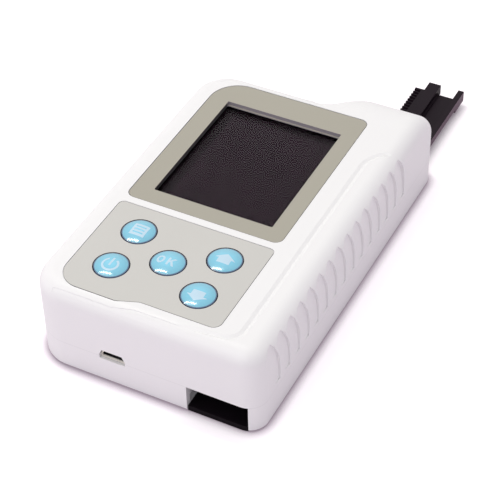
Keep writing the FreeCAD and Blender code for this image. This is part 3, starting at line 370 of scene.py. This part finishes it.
def new_material(name):
    """A material, the tree of its nodes and its shader."""
    material = bpy.data.materials.new(name)
    material.use_nodes = True
    work = Tree(material.node_tree)
    return material, work, material.node_tree.nodes["Principled BSDF"]


def place_group(work, name, **values):
    """One use of a shared group in a material, with its own values."""
    node = work.node("ShaderNodeGroup", node_tree=group(name))
    for label, value in values.items():
        socket = node.inputs[label.replace("_", " ").title()]
        if isinstance(value, bpy.types.NodeSocket):
            work.link(value, socket)
        else:
            socket.default_value = (*value, 1.0) if socket.type == "RGBA" else value
    return node


def bump(work, shader, height, distance):
    node = work.node("ShaderNodeBump")
    node.inputs["Distance"].default_value = distance
    work.link(height, node.inputs["Height"])
    work.link(node.outputs["Normal"], shader.inputs["Normal"])


def banded(work, tone, bands):
    """A colour with bands of other colours, each given as its colour and the band group's values."""
    tone = tuple(tone)
    for tint, settings in bands:
        tone = work.mix(place_group(work, "band", **settings).outputs["Mask"], tone, tuple(tint))
    return tone


def moulded(
    name, base, roughness=0.4, grain=5 * MICRON, grain_scale=2600.0, mottle=0.03, coat=0.0, gloss=0.5,
    sides=None, side_bands=(), top_bands=(),
):
    """A moulded plastic. Its upright faces may have a colour of their own, and bands of others."""
    material, work, shader = new_material(name)
    tone = banded(work, base, top_bands)
    if sides is not None:
        upright = banded(work, sides, side_bands)
        tone = work.mix(place_group(work, "facing_up").outputs["Mask"], upright, tone)
    shader.inputs["Specular IOR Level"].default_value = gloss
    skin = place_group(
        work, "moulded_skin", colour=tone, mottle=mottle, grain_scale=grain_scale, roughness=roughness
    )
    work.link(skin.outputs["Colour"], shader.inputs["Base Color"])
    work.link(skin.outputs["Roughness"], shader.inputs["Roughness"])
    shader.inputs["Coat Weight"].default_value = coat
    bump(work, shader, skin.outputs["Height"], grain)
    return material


def metal(name, base, roughness=0.3, line_scale=1800.0, depth=3 * MICRON):
    """A plated, rolled or turned metal."""
    material, work, shader = new_material(name)
    skin = place_group(
        work, "drawn_metal", colour=tuple(base), line_scale=line_scale, roughness=roughness
    )
    work.link(skin.outputs["Colour"], shader.inputs["Base Color"])
    work.link(skin.outputs["Roughness"], shader.inputs["Roughness"])
    shader.inputs["Metallic"].default_value = 1.0
    bump(work, shader, skin.outputs["Height"], depth)
    return material


def toned(base, gain, lift=0.0):
    """A colour made lighter or darker."""
    return tuple(min(1.0, channel * gain + lift) for channel in base)


def key_material(finish):
    """Blue dome with a soft deeper blue towards its edge and a dark line round it, which is painted
    shade of the gap round the key.
    """
    material, work, shader = new_material("key_blue_dome")
    inner = place_group(work, "round_rim", radius=0.15, softness=0.75)
    # Painted shade of the gap round the key, on the outer edge of the cap
    rim = place_group(work, "round_rim", radius=0.785, softness=0.02)
    pale = toned(finish.key, gain=1.25, lift=0.02)
    deep = toned(finish.key, gain=0.92)
    dome = work.mix(inner.outputs["Mask"], pale, deep)
    dome_with_gap_shade = work.mix(rim.outputs["Mask"], dome, tuple(finish.rim))
    skin = place_group(
        work, "moulded_skin", colour=dome_with_gap_shade, mottle=0.02, grain_scale=900.0, roughness=0.16
    )
    work.link(skin.outputs["Colour"], shader.inputs["Base Color"])
    work.link(skin.outputs["Roughness"], shader.inputs["Roughness"])
    shader.inputs["Coat Weight"].default_value = 0.6
    shader.inputs["Coat Roughness"].default_value = 0.04
    bump(work, shader, skin.outputs["Height"], 0.8 * MICRON)
    return material


# Dark edge of the display at its left and right, then at its front and back. The wide left and back
# margins are painted shadow of the bezel walls, and the right and front ones lie under the bezel.
DISPLAY_MARGINS = ((5.4 * MM, 2.0 * MM), (3.8 * MM, 9.3 * MM))
DISPLAY_FADE = 0.3 * MM


def display_material(finish):
    """Switched-off display: a dark active area inside a darker edge, widened at the left and back into
    painted shadow of the bezel walls, with a faint pixel grain.
    """
    material, work, shader = new_material("display_dark")
    low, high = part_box("lcd_panel")
    place = work.node("ShaderNodeTexCoord").outputs["Object"]
    split = work.node("ShaderNodeSeparateXYZ")
    work.link(place, split.inputs[0])
    masks = []
    for axis, (low_margin, high_margin) in enumerate(DISPLAY_MARGINS):
        start, end = low[axis] + low_margin, high[axis] - high_margin
        masks.append(work.map_range(split.outputs[axis], start, start + DISPLAY_FADE))
        masks.append(work.map_range(split.outputs[axis], end, end - DISPLAY_FADE))
    active = masks[0]
    for mask in masks[1:]:
        active = work.math("MULTIPLY", active, mask)
    # Painted shadow of the bezel walls makes up the dark edge at the left and back
    tone = work.mix(active, tuple(finish.border_and_wall_shadow), tuple(finish.display))
    skin = place_group(
        work, "moulded_skin", colour=tone, mottle=0.12, grain_scale=6000.0, roughness=0.2
    )
    shader.inputs["Specular IOR Level"].default_value = 0.06
    work.link(skin.outputs["Colour"], shader.inputs["Base Color"])
    work.link(skin.outputs["Roughness"], shader.inputs["Roughness"])
    bump(work, shader, skin.outputs["Height"], 1 * MICRON)
    return material


def clear_material(name, tint, index):
    """A clear pane with a few faint hairlines."""
    material, work, shader = new_material(name)
    shader.inputs["Base Color"].default_value = (*tint, 1.0)
    shader.inputs["Transmission Weight"].default_value = 1.0
    shader.inputs["IOR"].default_value = index
    place = work.node("ShaderNodeTexCoord").outputs["Object"]
    hair = work.noise(work.vector("MULTIPLY", place, (1.0, 0.05, 1.0)), 2600.0, 2.0, 0.5)
    work.link(work.map_range(hair, 0.55, 0.75, 0.01, 0.06), shader.inputs["Roughness"])
    bump(work, shader, hair, 0.4 * MICRON)
    return material


def board_material(name, mask):
    """A printed circuit board: tracks under the solder mask, and pads."""
    material, work, shader = new_material(name)
    place = work.node("ShaderNodeTexCoord").outputs["Object"]
    tracks = work.node("ShaderNodeTexBrick")
    work.link(place, tracks.inputs["Vector"])
    tracks.inputs["Scale"].default_value = 180.0
    tracks.inputs["Mortar Size"].default_value = 0.03
    tracks.inputs["Color1"].default_value = (*mask, 1.0)
    tracks.inputs["Color2"].default_value = (*toned(mask, gain=0.85), 1.0)
    tracks.inputs["Mortar"].default_value = (*toned(mask, gain=1.7, lift=0.01), 1.0)
    skin = place_group(
        work, "moulded_skin", colour=tracks.outputs["Color"], mottle=0.1, grain_scale=1500.0,
        roughness=0.32,
    )
    work.link(skin.outputs["Colour"], shader.inputs["Base Color"])
    work.link(skin.outputs["Roughness"], shader.inputs["Roughness"])
    bump(work, shader, skin.outputs["Height"], 4 * MICRON)
    return material


def dress(material, *nodes):
    """Give CAD nodes a material, in place of the plain one that they come with."""
    for node in nodes:
        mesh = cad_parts[node].data
        mesh.materials.clear()
        mesh.materials.append(material)


# Upper shell

CROWN_RADIUS = 4.9 * MM
# A box round the end of the rib that stands out of the rounded left edge
RIB_END_LOW = Vector((-35.8, -20.85, 27.5)) * MM
RIB_END_HIGH = Vector((-34.8, -19.75, 28.55)) * MM


def at_rib_end(place):
    return all(low < value < high for low, value, high in zip(RIB_END_LOW, place, RIB_END_HIGH))


def upper_shell(material):
    """The upper shell, with the end of the rib behind the keypad cut flush with the rounded edge."""
    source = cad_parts["upper_housing"].data
    places = [vert.co.copy() for vert in source.vertices]
    faces, normals = [], []
    for face in source.polygons:
        if not all(at_rib_end(places[index]) for index in face.vertices):
            faces.append(tuple(face.vertices))
            normals.extend(source.corner_normals[corner].vector.copy() for corner in face.loop_indices)
    # The gap has a front and a back row of points, and a strip along the rounded edge joins them
    rim = {index for face in faces for index in face if at_rib_end(places[index])}
    rim = sorted(rim, key=lambda index: (places[index].z, index))
    middle = (RIB_END_LOW.y + RIB_END_HIGH.y) / 2
    front = [index for index in rim if places[index].y < middle]
    back = [index for index in rim if places[index].y > middle]
    low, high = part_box("upper_housing")
    centre = Vector((low.x + CROWN_RADIUS, 0.0, high.z - CROWN_RADIUS))
    for step in range(len(front) - 1):
        patch = (front[step], front[step + 1], back[step + 1], back[step])
        faces.append(patch)
        for index in patch:
            outward = places[index] - centre
            outward.y = 0.0
            normals.append(outward.normalized())
    used = sorted({index for face in faces for index in face})
    renumbered = {old: new for new, old in enumerate(used)}
    loops = [[renumbered[old] for old in face] for face in faces]
    mesh = bpy.data.meshes.new("upper_shell")
    mesh.from_pydata([places[old] for old in used], [], loops)
    mesh.polygons.foreach_set("use_smooth", [True] * len(faces))
    mesh.normals_split_custom_set(normals)
    mesh.materials.append(material)
    piece = bpy.data.objects.new("upper_shell", mesh)
    bpy.context.scene.collection.objects.link(piece)
    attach(piece, "case")
    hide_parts("upper_housing")


# Printed signs

CAP_RADIUS = 5.05 * MM
DOME_RISE = 0.9 * MM
DOME_RADIUS = (CAP_RADIUS**2 + DOME_RISE**2) / (2 * DOME_RISE)
FINE_EDGE = 0.5 * MM
REFINE_PASSES = 4
# How far a print reaches into its dome, in heights of the print
PRINT_ROOT = 2.0


def ring(radius_x, radius_y, steps=40, start=0.0, sweep=360.0):
    """Points round an ellipse, in millimetres."""
    closed = abs(sweep) >= 360.0
    count = steps if closed else steps + 1
    angles = [math.radians(start + sweep * i / steps) for i in range(count)]
    return [(radius_x * math.cos(a), radius_y * math.sin(a)) for a in angles]


def moved(points, x, y):
    """Points moved sideways and up the key."""
    return [(px + x, py + y) for px, py in points]


def rectangle(x_low, y_low, x_high, y_high):
    return [(x_low, y_low), (x_high, y_low), (x_high, y_high), (x_low, y_high)]


def list_sign():
    """A sheet with lines."""
    slots = [rectangle(-1.62, y - 0.26, 1.62, y + 0.26) for y in (-1.22, 0.0, 1.22)]
    return [[moved(loop, 0.2, 0.05) for loop in [rectangle(-2.35, -2.35, 2.35, 2.35), *slots]]]


def power_sign():
    """An open ring with a bar."""
    arc = ring(2.6, 2.6, 44, 122.0, 296.0) + list(reversed(ring(1.95, 1.95, 44, 122.0, 296.0)))
    return [[moved(arc, -0.09, -0.33)], [rectangle(-0.4, -0.95, 0.2, 2.4)]]


def ok_sign():
    """The letters O and K."""
    letter_o = [moved(ring(1.2, 1.5), -2.25, 0.02), moved(ring(0.6, 0.88), -2.25, 0.02)]
    letter_k = [
        (0.0, -1.78), (0.65, -1.78), (0.65, -0.85), (1.0, -0.45), (1.75, -1.78), (2.5, -1.78),
        (1.4, 0.0), (2.45, 1.22), (1.7, 1.22), (0.65, -0.02), (0.65, 1.22), (0.0, 1.22),
    ]
    return [letter_o, [moved(letter_k, -0.15, 0.3)]]


def arrow_sign(way):
    """A broad block arrow, up or down."""
    loop = [
        (0.0, 2.15), (-3.2, 0.1), (-1.95, 0.1), (-1.95, -1.75), (1.95, -1.75), (1.95, 0.1), (3.2, 0.1),
    ]
    if way > 0:
        return [[moved(loop, 0.1, -0.2)]]
    return [[moved([(x, -y) for x, y in reversed(loop)], 0.0, -0.75)]]


SIGNS = {
    "list_key": list_sign(),
    "power_key": power_sign(),
    "ok_key": ok_sign(),
    "up_key": arrow_sign(1),
    "down_key": arrow_sign(-1),
}


def print_on_dome(name, shapes, key, proud, material):
    """A thin print that follows the dome of its key."""
    low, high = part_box(key)
    middle = Vector(((low.x + high.x) / 2, (low.y + high.y) / 2, high.z))
    built = bmesh.new()
    for loops in shapes:
        layer = bmesh.new()
        for loop in loops:
            verts = [layer.verts.new((x * MM, y * MM, 0.0)) for x, y in loop]
            for first, second in zip(verts, verts[1:] + verts[:1]):
                layer.edges.new((first, second))
        bmesh.ops.triangle_fill(layer, use_beauty=True, use_dissolve=False, edges=layer.edges[:])
        for _ in range(REFINE_PASSES):
            long_edges = [edge for edge in layer.edges if edge.calc_length() > FINE_EDGE]
            if long_edges:
                bmesh.ops.subdivide_edges(layer, edges=long_edges, cuts=1)
                bmesh.ops.triangulate(layer, faces=layer.faces[:])
        bmesh.ops.recalc_face_normals(layer, faces=layer.faces[:])
        if layer.faces[:] and layer.faces[0].normal.z < 0:
            bmesh.ops.reverse_faces(layer, faces=layer.faces[:])
        top = layer.faces[:]
        walls = bmesh.ops.extrude_face_region(layer, geom=top)
        raised = {item for item in walls["geom"] if isinstance(item, bmesh.types.BMVert)}
        for vert in layer.verts:
            reach = math.hypot(vert.co.x, vert.co.y)
            sink = DOME_RADIUS - math.sqrt(DOME_RADIUS**2 - reach**2)
            vert.co.z = -sink + (proud if vert in raised else -PRINT_ROOT * proud)
        bmesh.ops.recalc_face_normals(layer, faces=layer.faces[:])
        part = bpy.data.meshes.new("part")
        layer.to_mesh(part)
        layer.free()
        built.from_mesh(part)
        bpy.data.meshes.remove(part)
    mesh = bpy.data.meshes.new(name)
    built.to_mesh(mesh)
    built.free()
    mesh.transform(Matrix.Translation(middle))
    mesh.materials.append(material)
    piece = bpy.data.objects.new(name, mesh)
    bpy.context.scene.collection.objects.link(piece)
    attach(piece, key + "_cap")


# Operators

ACROSS = (1.0, 0.0, 0.0)
ALONG = (0.0, 1.0, 0.0)


class ANALYZER_OT_case(bpy.types.Operator):
    """Finish both shells of the case"""

    bl_idname = "analyzer.case"
    bl_label = "Case"

    def execute(self, context):
        finish = context.scene.analyzer_case
        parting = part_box("upper_housing")[0].z
        seam = {"middle": parting, "half_width": 0.14 * MM, "softness": 0.05 * MM}
        shell = moulded(
            "case_satin_white", finish.shell, finish.roughness, finish.grain, mottle=0.02,
            sides=finish.shell, side_bands=[(toned(finish.shell, finish.seam), seam)],
        )
        dress(shell, "lower_housing")
        upper_shell(shell)
        return {"FINISHED"}


class ANALYZER_OT_screen(bpy.types.Operator):
    """Finish the bezel, the pane and the display"""

    bl_idname = "analyzer.screen"
    bl_label = "Screen"

    def execute(self, context):
        finish = context.scene.analyzer_screen
        # Band of the lit back wall, painted paler than the shaded upright faces
        wall_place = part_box("screen_bezel")[1].y - 9.7 * MM
        lit_back_wall = {"axis": ALONG, "middle": wall_place, "half_width": 0.62 * MM}
        # The frame's upright faces carry painted shade, all but the back wall, which is painted paler as
        # the lit wall
        bezel = moulded(
            "bezel_warm_grey", finish.bezel, roughness=0.5, grain=4 * MICRON, mottle=0.05,
            sides=finish.bezel_side_shade, side_bands=[(finish.lit_back_wall, lit_back_wall)],
        )
        dress(bezel, "screen_bezel")
        dress(clear_material("window_pane", finish.pane, index=1.12), "display_window")
        dress(display_material(finish), "lcd_panel")
        dress(moulded("bracket_black", finish.bracket, roughness=0.5), "display_bracket")
        return {"FINISHED"}


class ANALYZER_OT_keypad(bpy.types.Operator):
    """Finish the membrane, the keys and their switches"""

    bl_idname = "analyzer.keypad"
    bl_label = "Keypad"

    def execute(self, context):
        finish = context.scene.analyzer_keypad
        # The membrane's upright faces carry painted shade
        overlay = moulded(
            "overlay_grey_film", finish.overlay, roughness=0.46, grain=4 * MICRON, grain_scale=4200.0,
            mottle=0.05, sides=finish.overlay_side_shade,
        )
        dress(overlay, "keypad_overlay")
        dress(key_material(finish), *SIGNS)
        package = context.scene.analyzer_inside.package
        dress(moulded("switch_black", package, roughness=0.45), "key_switches")
        return {"FINISHED"}


class ANALYZER_OT_signs(bpy.types.Operator):
    """Print the signs on the keys"""

    bl_idname = "analyzer.signs"
    bl_label = "Key signs"

    def execute(self, context):
        finish = context.scene.analyzer_keypad
        ink = moulded(
            "sign_pale_ink", finish.sign, roughness=0.3, grain=2 * MICRON, grain_scale=3000.0,
            mottle=0.06, coat=0.3,
        )
        for key, shapes in SIGNS.items():
            print_on_dome(key.replace("_key", "_sign"), shapes, key, finish.sign_proud, ink)
        return {"FINISHED"}


class ANALYZER_OT_socket(bpy.types.Operator):
    """Finish the charging socket"""

    bl_idname = "analyzer.socket"
    bl_label = "Charging socket"

    def execute(self, context):
        finish = context.scene.analyzer_socket
        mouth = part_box("usb_shell")[0].y
        # Painted shade: inside the shell from just behind its mouth, upright and upward faces alike are
        # near black
        deep = {
            "axis": ALONG, "middle": mouth + 4.0 * MM, "half_width": 3.7 * MM, "softness": 0.3 * MM
        }
        dark = [(finish.depth, deep)]
        shell = moulded(
            "socket_plated", finish.plating, roughness=0.4, grain=2 * MICRON, grain_scale=3000.0,
            mottle=0.1, sides=finish.rim, side_bands=dark, top_bands=dark,
        )
        dress(shell, "usb_shell")
        package = context.scene.analyzer_inside.package
        dress(moulded("socket_tongue", package, roughness=0.4), "usb_tongue")
        return {"FINISHED"}


class ANALYZER_OT_tray(bpy.types.Operator):
    """Finish the strip tray, its guide and the reference tile"""

    bl_idname = "analyzer.tray"
    bl_label = "Strip tray"

    def execute(self, context):
        finish = context.scene.analyzer_tray
        # Painted reflection of the white floor, on the outer side of the right rail
        flank_reflection = {"axis": ACROSS, "middle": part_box("strip_tray")[1].x, "half_width": 0.8 * MM}
        black = {"grain_scale": 1900.0, "mottle": 0.2, "gloss": 0.12}
        tray = moulded(
            "tray_black_satin", finish.tray, roughness=0.45, sides=finish.tray,
            side_bands=[(finish.tray_flank_reflection, flank_reflection)], **black,
        )
        dress(tray, "strip_tray")
        dress(moulded("guide_black", finish.guide, roughness=0.5, **black), "tray_guide")
        tile = moulded(
            "tile_matte_white", finish.tile, roughness=0.8, grain=4 * MICRON, grain_scale=5000.0,
            mottle=0.02,
        )
        dress(tile, "reference_tile")
        return {"FINISHED"}


class ANALYZER_OT_drive(bpy.types.Operator):
    """Finish the motor, the gears, the shafts and the bracket"""

    bl_idname = "analyzer.drive"
    bl_label = "Drive"

    def execute(self, context):
        inside = context.scene.analyzer_inside
        dress(moulded("gear_natural", inside.gear, roughness=0.45), "drive_pinion", "drive_gear")
        dress(metal("pinion_brass", inside.brass, roughness=0.28), "motor_pinion")
        shaft = metal("shaft_ground", inside.metal, roughness=0.18, line_scale=2600.0)
        dress(shaft, "drive_shaft", "motor_shaft")
        dress(metal("motor_can", inside.metal, roughness=0.34, line_scale=900.0), "drive_motor")
        bracket = metal("bracket_folded", inside.metal, roughness=0.38, line_scale=1200.0)
        dress(bracket, "motor_bracket")
        return {"FINISHED"}


class ANALYZER_OT_reader(bpy.types.Operator):
    """Finish the reader over the strip"""

    bl_idname = "analyzer.reader"
    bl_label = "Reader"

    def execute(self, context):
        inside = context.scene.analyzer_inside
        dress(moulded("head_light_tight", inside.package, roughness=0.7), "optical_head")
        dress(clear_material("aperture_pane", inside.aperture, index=1.49), "aperture_glass")
        dress(moulded("lamp_epoxy", inside.lamp, roughness=0.2, coat=0.4), "head_lamps")
        return {"FINISHED"}


class ANALYZER_OT_boards(bpy.types.Operator):
    """Finish the boards, what is on them, and the cell"""

    bl_idname = "analyzer.boards"
    bl_label = "Boards and cell"

    def execute(self, context):
        inside = context.scene.analyzer_inside
        boards = board_material("board_green", inside.board)
        dress(boards, "main_board", "display_board", "sensor_board")
        dress(moulded("chip_epoxy", inside.package, roughness=0.5, mottle=0.15), "main_chips")
        foil = metal("cell_foil", inside.foil, roughness=0.42, line_scale=500.0, depth=20 * MICRON)
        dress(foil, "battery")
        return {"FINISHED"}


class ANALYZER_OT_fasteners(bpy.types.Operator):
    """Finish the screws"""

    bl_idname = "analyzer.fasteners"
    bl_label = "Screws"

    def execute(self, context):
        inside = context.scene.analyzer_inside
        screws = metal("screw_zinc", inside.metal, roughness=0.32, line_scale=3200.0)
        dress(screws, "housing_screws", "main_board_screws", "display_board_screws")
        return {"FINISHED"}


FRAME_PIXELS = 500.0
# Where the line of view meets the photograph's frame
VIEW_CENTRE_PIXELS = (252.73, 247.43)
SENSOR_WIDTH = 36.0

# From the middle of the floor to its edges
FLOOR_REACH = 3.0
# Just under the base, so that the two don't share a plane
FLOOR_LEVEL = -0.02 * MM
# Rays that start this close to the floor come from the base, and pass through it
BASE_GAP = 0.1 * MM
FLOOR_TINT = (1.0, 0.92, 0.99)
FLOOR_TONE = (0.85, 0.87)
FLOOR_GLOW = 0.42
CONTACT_REACH = 3.5 * MM
CONTACT_SHADE = (0.36, 0.31, 0.355)
# How open the floor is to the sky where the contact shadow is deepest, and where it ends
CONTACT_SPAN = (0.45, 0.97)

HORIZON_LEFT = (0.97, 0.915, 0.99)
HORIZON_RIGHT = (0.82, 0.745, 0.89)
ZENITH = (0.965, 0.965, 0.945)
WHITE = (1.0, 1.0, 1.0)

LAMP_WARM = (1.0, 0.995, 0.92)
LAMP_COOL = (0.97, 0.955, 1.0)
# Each lamp's name, place, aim, size, power in watts, colour, and whether gloss mirrors it
LAMPS = (
    ("overhead", (-0.15, 0.15, 0.9), (0.0, 0.0, 0.0), (0.7, 0.7), 1.4, LAMP_WARM, False),
    ("strip", (-0.38, 0.12, 0.85), (-0.38, 0.12, 0.0), (0.42, 0.045), 1.7, LAMP_WARM, True),
    ("front_fill", (-0.32, -0.72, 0.65), (0.0, 0.0, 0.02), (0.6, 0.6), 1.6, LAMP_COOL, True),
)


def camera_matrix(stage):
    """Where the camera stands and how it is turned."""
    back = Vector(
        (
            math.sin(stage.azimuth) * math.cos(stage.elevation),
            -math.cos(stage.azimuth) * math.cos(stage.elevation),
            math.sin(stage.elevation),
        )
    )
    right = Vector((0, 0, 1)).cross(back).normalized()
    up = back.cross(right)
    cosine, sine = math.cos(stage.roll), math.sin(stage.roll)
    rolled_right = right * cosine + up * sine
    rolled_up = up * cosine - right * sine
    place = Vector(stage.target) + back * stage.distance
    turn = Matrix((rolled_right, rolled_up, back)).transposed().to_4x4()
    return Matrix.Translation(place) @ turn


class ANALYZER_OT_stage(bpy.types.Operator):
    """Set up the floor, the light and the camera"""

    bl_idname = "analyzer.stage"
    bl_label = "Stage"

    def execute(self, context):
        stage = context.scene.analyzer_stage
        self.floor()
        self.sky(context.scene, stage)
        self.lamps(stage)
        self.camera(context.scene, stage)
        context.scene.view_settings.view_transform = "Standard"
        return {"FINISHED"}

    def floor(self):
        """A pale floor with a contact shadow. It is clear from below, so that the base can be seen."""
        mesh = bpy.data.meshes.new("floor")
        ways = ((-1, -1), (1, -1), (1, 1), (-1, 1))
        corners = [(x * FLOOR_REACH, y * FLOOR_REACH, FLOOR_LEVEL) for x, y in ways]
        mesh.from_pydata(corners, [], [(0, 1, 2, 3)])
        floor = bpy.data.objects.new("floor", mesh)
        bpy.context.scene.collection.objects.link(floor)
        material, work, shader = new_material("floor_white")
        shader.inputs["Roughness"].default_value = 0.9
        place = work.node("ShaderNodeTexCoord").outputs["Object"]
        tone = work.map_range(work.noise(place, 3.0), 0.0, 1.0, *FLOOR_TONE)
        tint = work.vector("SCALE", FLOOR_TINT)
        work.link(tone, tint.node.inputs["Scale"])
        contact = work.node("ShaderNodeAmbientOcclusion", samples=16)
        contact.inputs["Distance"].default_value = CONTACT_REACH
        open_sky = work.map_range(contact.outputs["AO"], *CONTACT_SPAN)
        shade = work.mix(open_sky, CONTACT_SHADE, WHITE)
        work.link(work.mix(1.0, tint, shade, "MULTIPLY"), shader.inputs["Base Color"])
        path = work.node("ShaderNodeLightPath")
        seen = work.math("MAXIMUM", path.outputs["Is Camera Ray"], path.outputs["Is Transmission Ray"])
        work.link(shade, shader.inputs["Emission Color"])
        work.link(work.math("MULTIPLY", seen, FLOOR_GLOW), shader.inputs["Emission Strength"])
        from_below = work.node("ShaderNodeNewGeometry").outputs["Backfacing"]
        from_base = work.math("LESS_THAN", path.outputs["Ray Length"], BASE_GAP)
        clear = work.node("ShaderNodeMixShader")
        work.link(work.math("MAXIMUM", from_below, from_base), clear.inputs[0])
        work.link(shader.outputs[0], clear.inputs[1])
        work.link(work.node("ShaderNodeBsdfTransparent").outputs[0], clear.inputs[2])
        surface = material.node_tree.nodes["Material Output"].inputs["Surface"]
        work.link(clear.outputs[0], surface)
        mesh.materials.append(material)

    def sky(self, scene, stage):
        """Soft light from all round, a little dimmer to the right, and white where it is looked at."""
        world = bpy.data.worlds.new("studio")
        world.use_nodes = True
        scene.world = world
        work = Tree(world.node_tree)
        backdrop = world.node_tree.nodes["Background"]
        path = work.node("ShaderNodeLightPath")
        seen = work.math("MAXIMUM", path.outputs["Is Camera Ray"], path.outputs["Is Glossy Ray"])
        seen = work.math("MAXIMUM", seen, path.outputs["Is Transmission Ray"])
        split = work.node("ShaderNodeSeparateXYZ")
        work.link(work.node("ShaderNodeTexCoord").outputs["Generated"], split.inputs[0])
        across = work.map_range(split.outputs["X"], -0.8, 0.8)
        horizon = work.mix(across, HORIZON_LEFT, HORIZON_RIGHT)
        height = work.map_range(split.outputs["Z"], 0.0, 0.8)
        glow = work.mix(height, horizon, ZENITH)
        work.link(work.mix(seen, glow, WHITE), backdrop.inputs["Color"])
        work.link(work.map_range(seen, 0.0, 1.0, stage.sky, 1.0), backdrop.inputs["Strength"])

    def lamps(self, stage):
        """Large soft lamps"""
        for name, place, aim, size, power, tint, mirrored in LAMPS:
            light = bpy.data.lights.new(name, "AREA")
            light.shape = "RECTANGLE"
            light.size, light.size_y = size
            light.energy = power * stage.lamps
            light.color = tint
            lamp = bpy.data.objects.new(name, light)
            lamp.location = place
            towards = Vector(aim) - Vector(place)
            lamp.rotation_euler = towards.to_track_quat("-Z", "Y").to_euler()
            lamp.visible_glossy = mirrored
            bpy.context.scene.collection.objects.link(lamp)

    def camera(self, scene, stage):
        """A camera at the photograph's angle"""
        centre_x, centre_y = VIEW_CENTRE_PIXELS
        optics = bpy.data.cameras.new("view")
        optics.sensor_width = SENSOR_WIDTH
        optics.lens = SENSOR_WIDTH * stage.focal_px / FRAME_PIXELS
        optics.shift_x = (FRAME_PIXELS / 2 - centre_x) / FRAME_PIXELS
        optics.shift_y = (centre_y - FRAME_PIXELS / 2) / FRAME_PIXELS
        optics.clip_start = 0.01
        camera = bpy.data.objects.new("view", optics)
        camera.matrix_world = camera_matrix(stage)
        scene.collection.objects.link(camera)
        scene.camera = camera


OPERATORS = (
    ANALYZER_OT_case,
    ANALYZER_OT_screen,
    ANALYZER_OT_keypad,
    ANALYZER_OT_signs,
    ANALYZER_OT_socket,
    ANALYZER_OT_tray,
    ANALYZER_OT_drive,
    ANALYZER_OT_reader,
    ANALYZER_OT_boards,
    ANALYZER_OT_fasteners,
    ANALYZER_OT_stage,
)


class ANALYZER_PT_panel(bpy.types.Panel):
    """Lists the analyzer's pieces and finishes"""

    bl_idname = "ANALYZER_PT_panel"
    bl_label = "Handheld Urine Analyzer"
    bl_space_type = "VIEW_3D"
    bl_region_type = "UI"
    bl_category = "Analyzer"

    def draw(self, context):
        for name in SETTINGS:
            box = self.layout.box()
            settings = getattr(context.scene, name)
            for entry in settings.__annotations__:
                box.prop(settings, entry)
        for operator in OPERATORS:
            self.layout.operator(operator.bl_idname)


SETTINGS = {
    "analyzer_case": CaseFinish,
    "analyzer_screen": ScreenFinish,
    "analyzer_keypad": KeypadFinish,
    "analyzer_socket": SocketFinish,
    "analyzer_tray": TrayFinish,
    "analyzer_inside": InsideFinish,
    "analyzer_stage": StageSettings,
}


def register():
    for kind in (*SETTINGS.values(), *OPERATORS, ANALYZER_PT_panel):
        bpy.utils.register_class(kind)
    for name, kind in SETTINGS.items():
        setattr(bpy.types.Scene, name, PointerProperty(type=kind))


def unregister():
    for name in SETTINGS:
        delattr(bpy.types.Scene, name)
    for kind in reversed((*SETTINGS.values(), *OPERATORS, ANALYZER_PT_panel)):
        bpy.utils.unregister_class(kind)


def main():
    register()
    for operator in OPERATORS:
        area, call = operator.bl_idname.split(".")
        getattr(getattr(bpy.ops, area), call)()


if __name__ == "__main__":
    main()
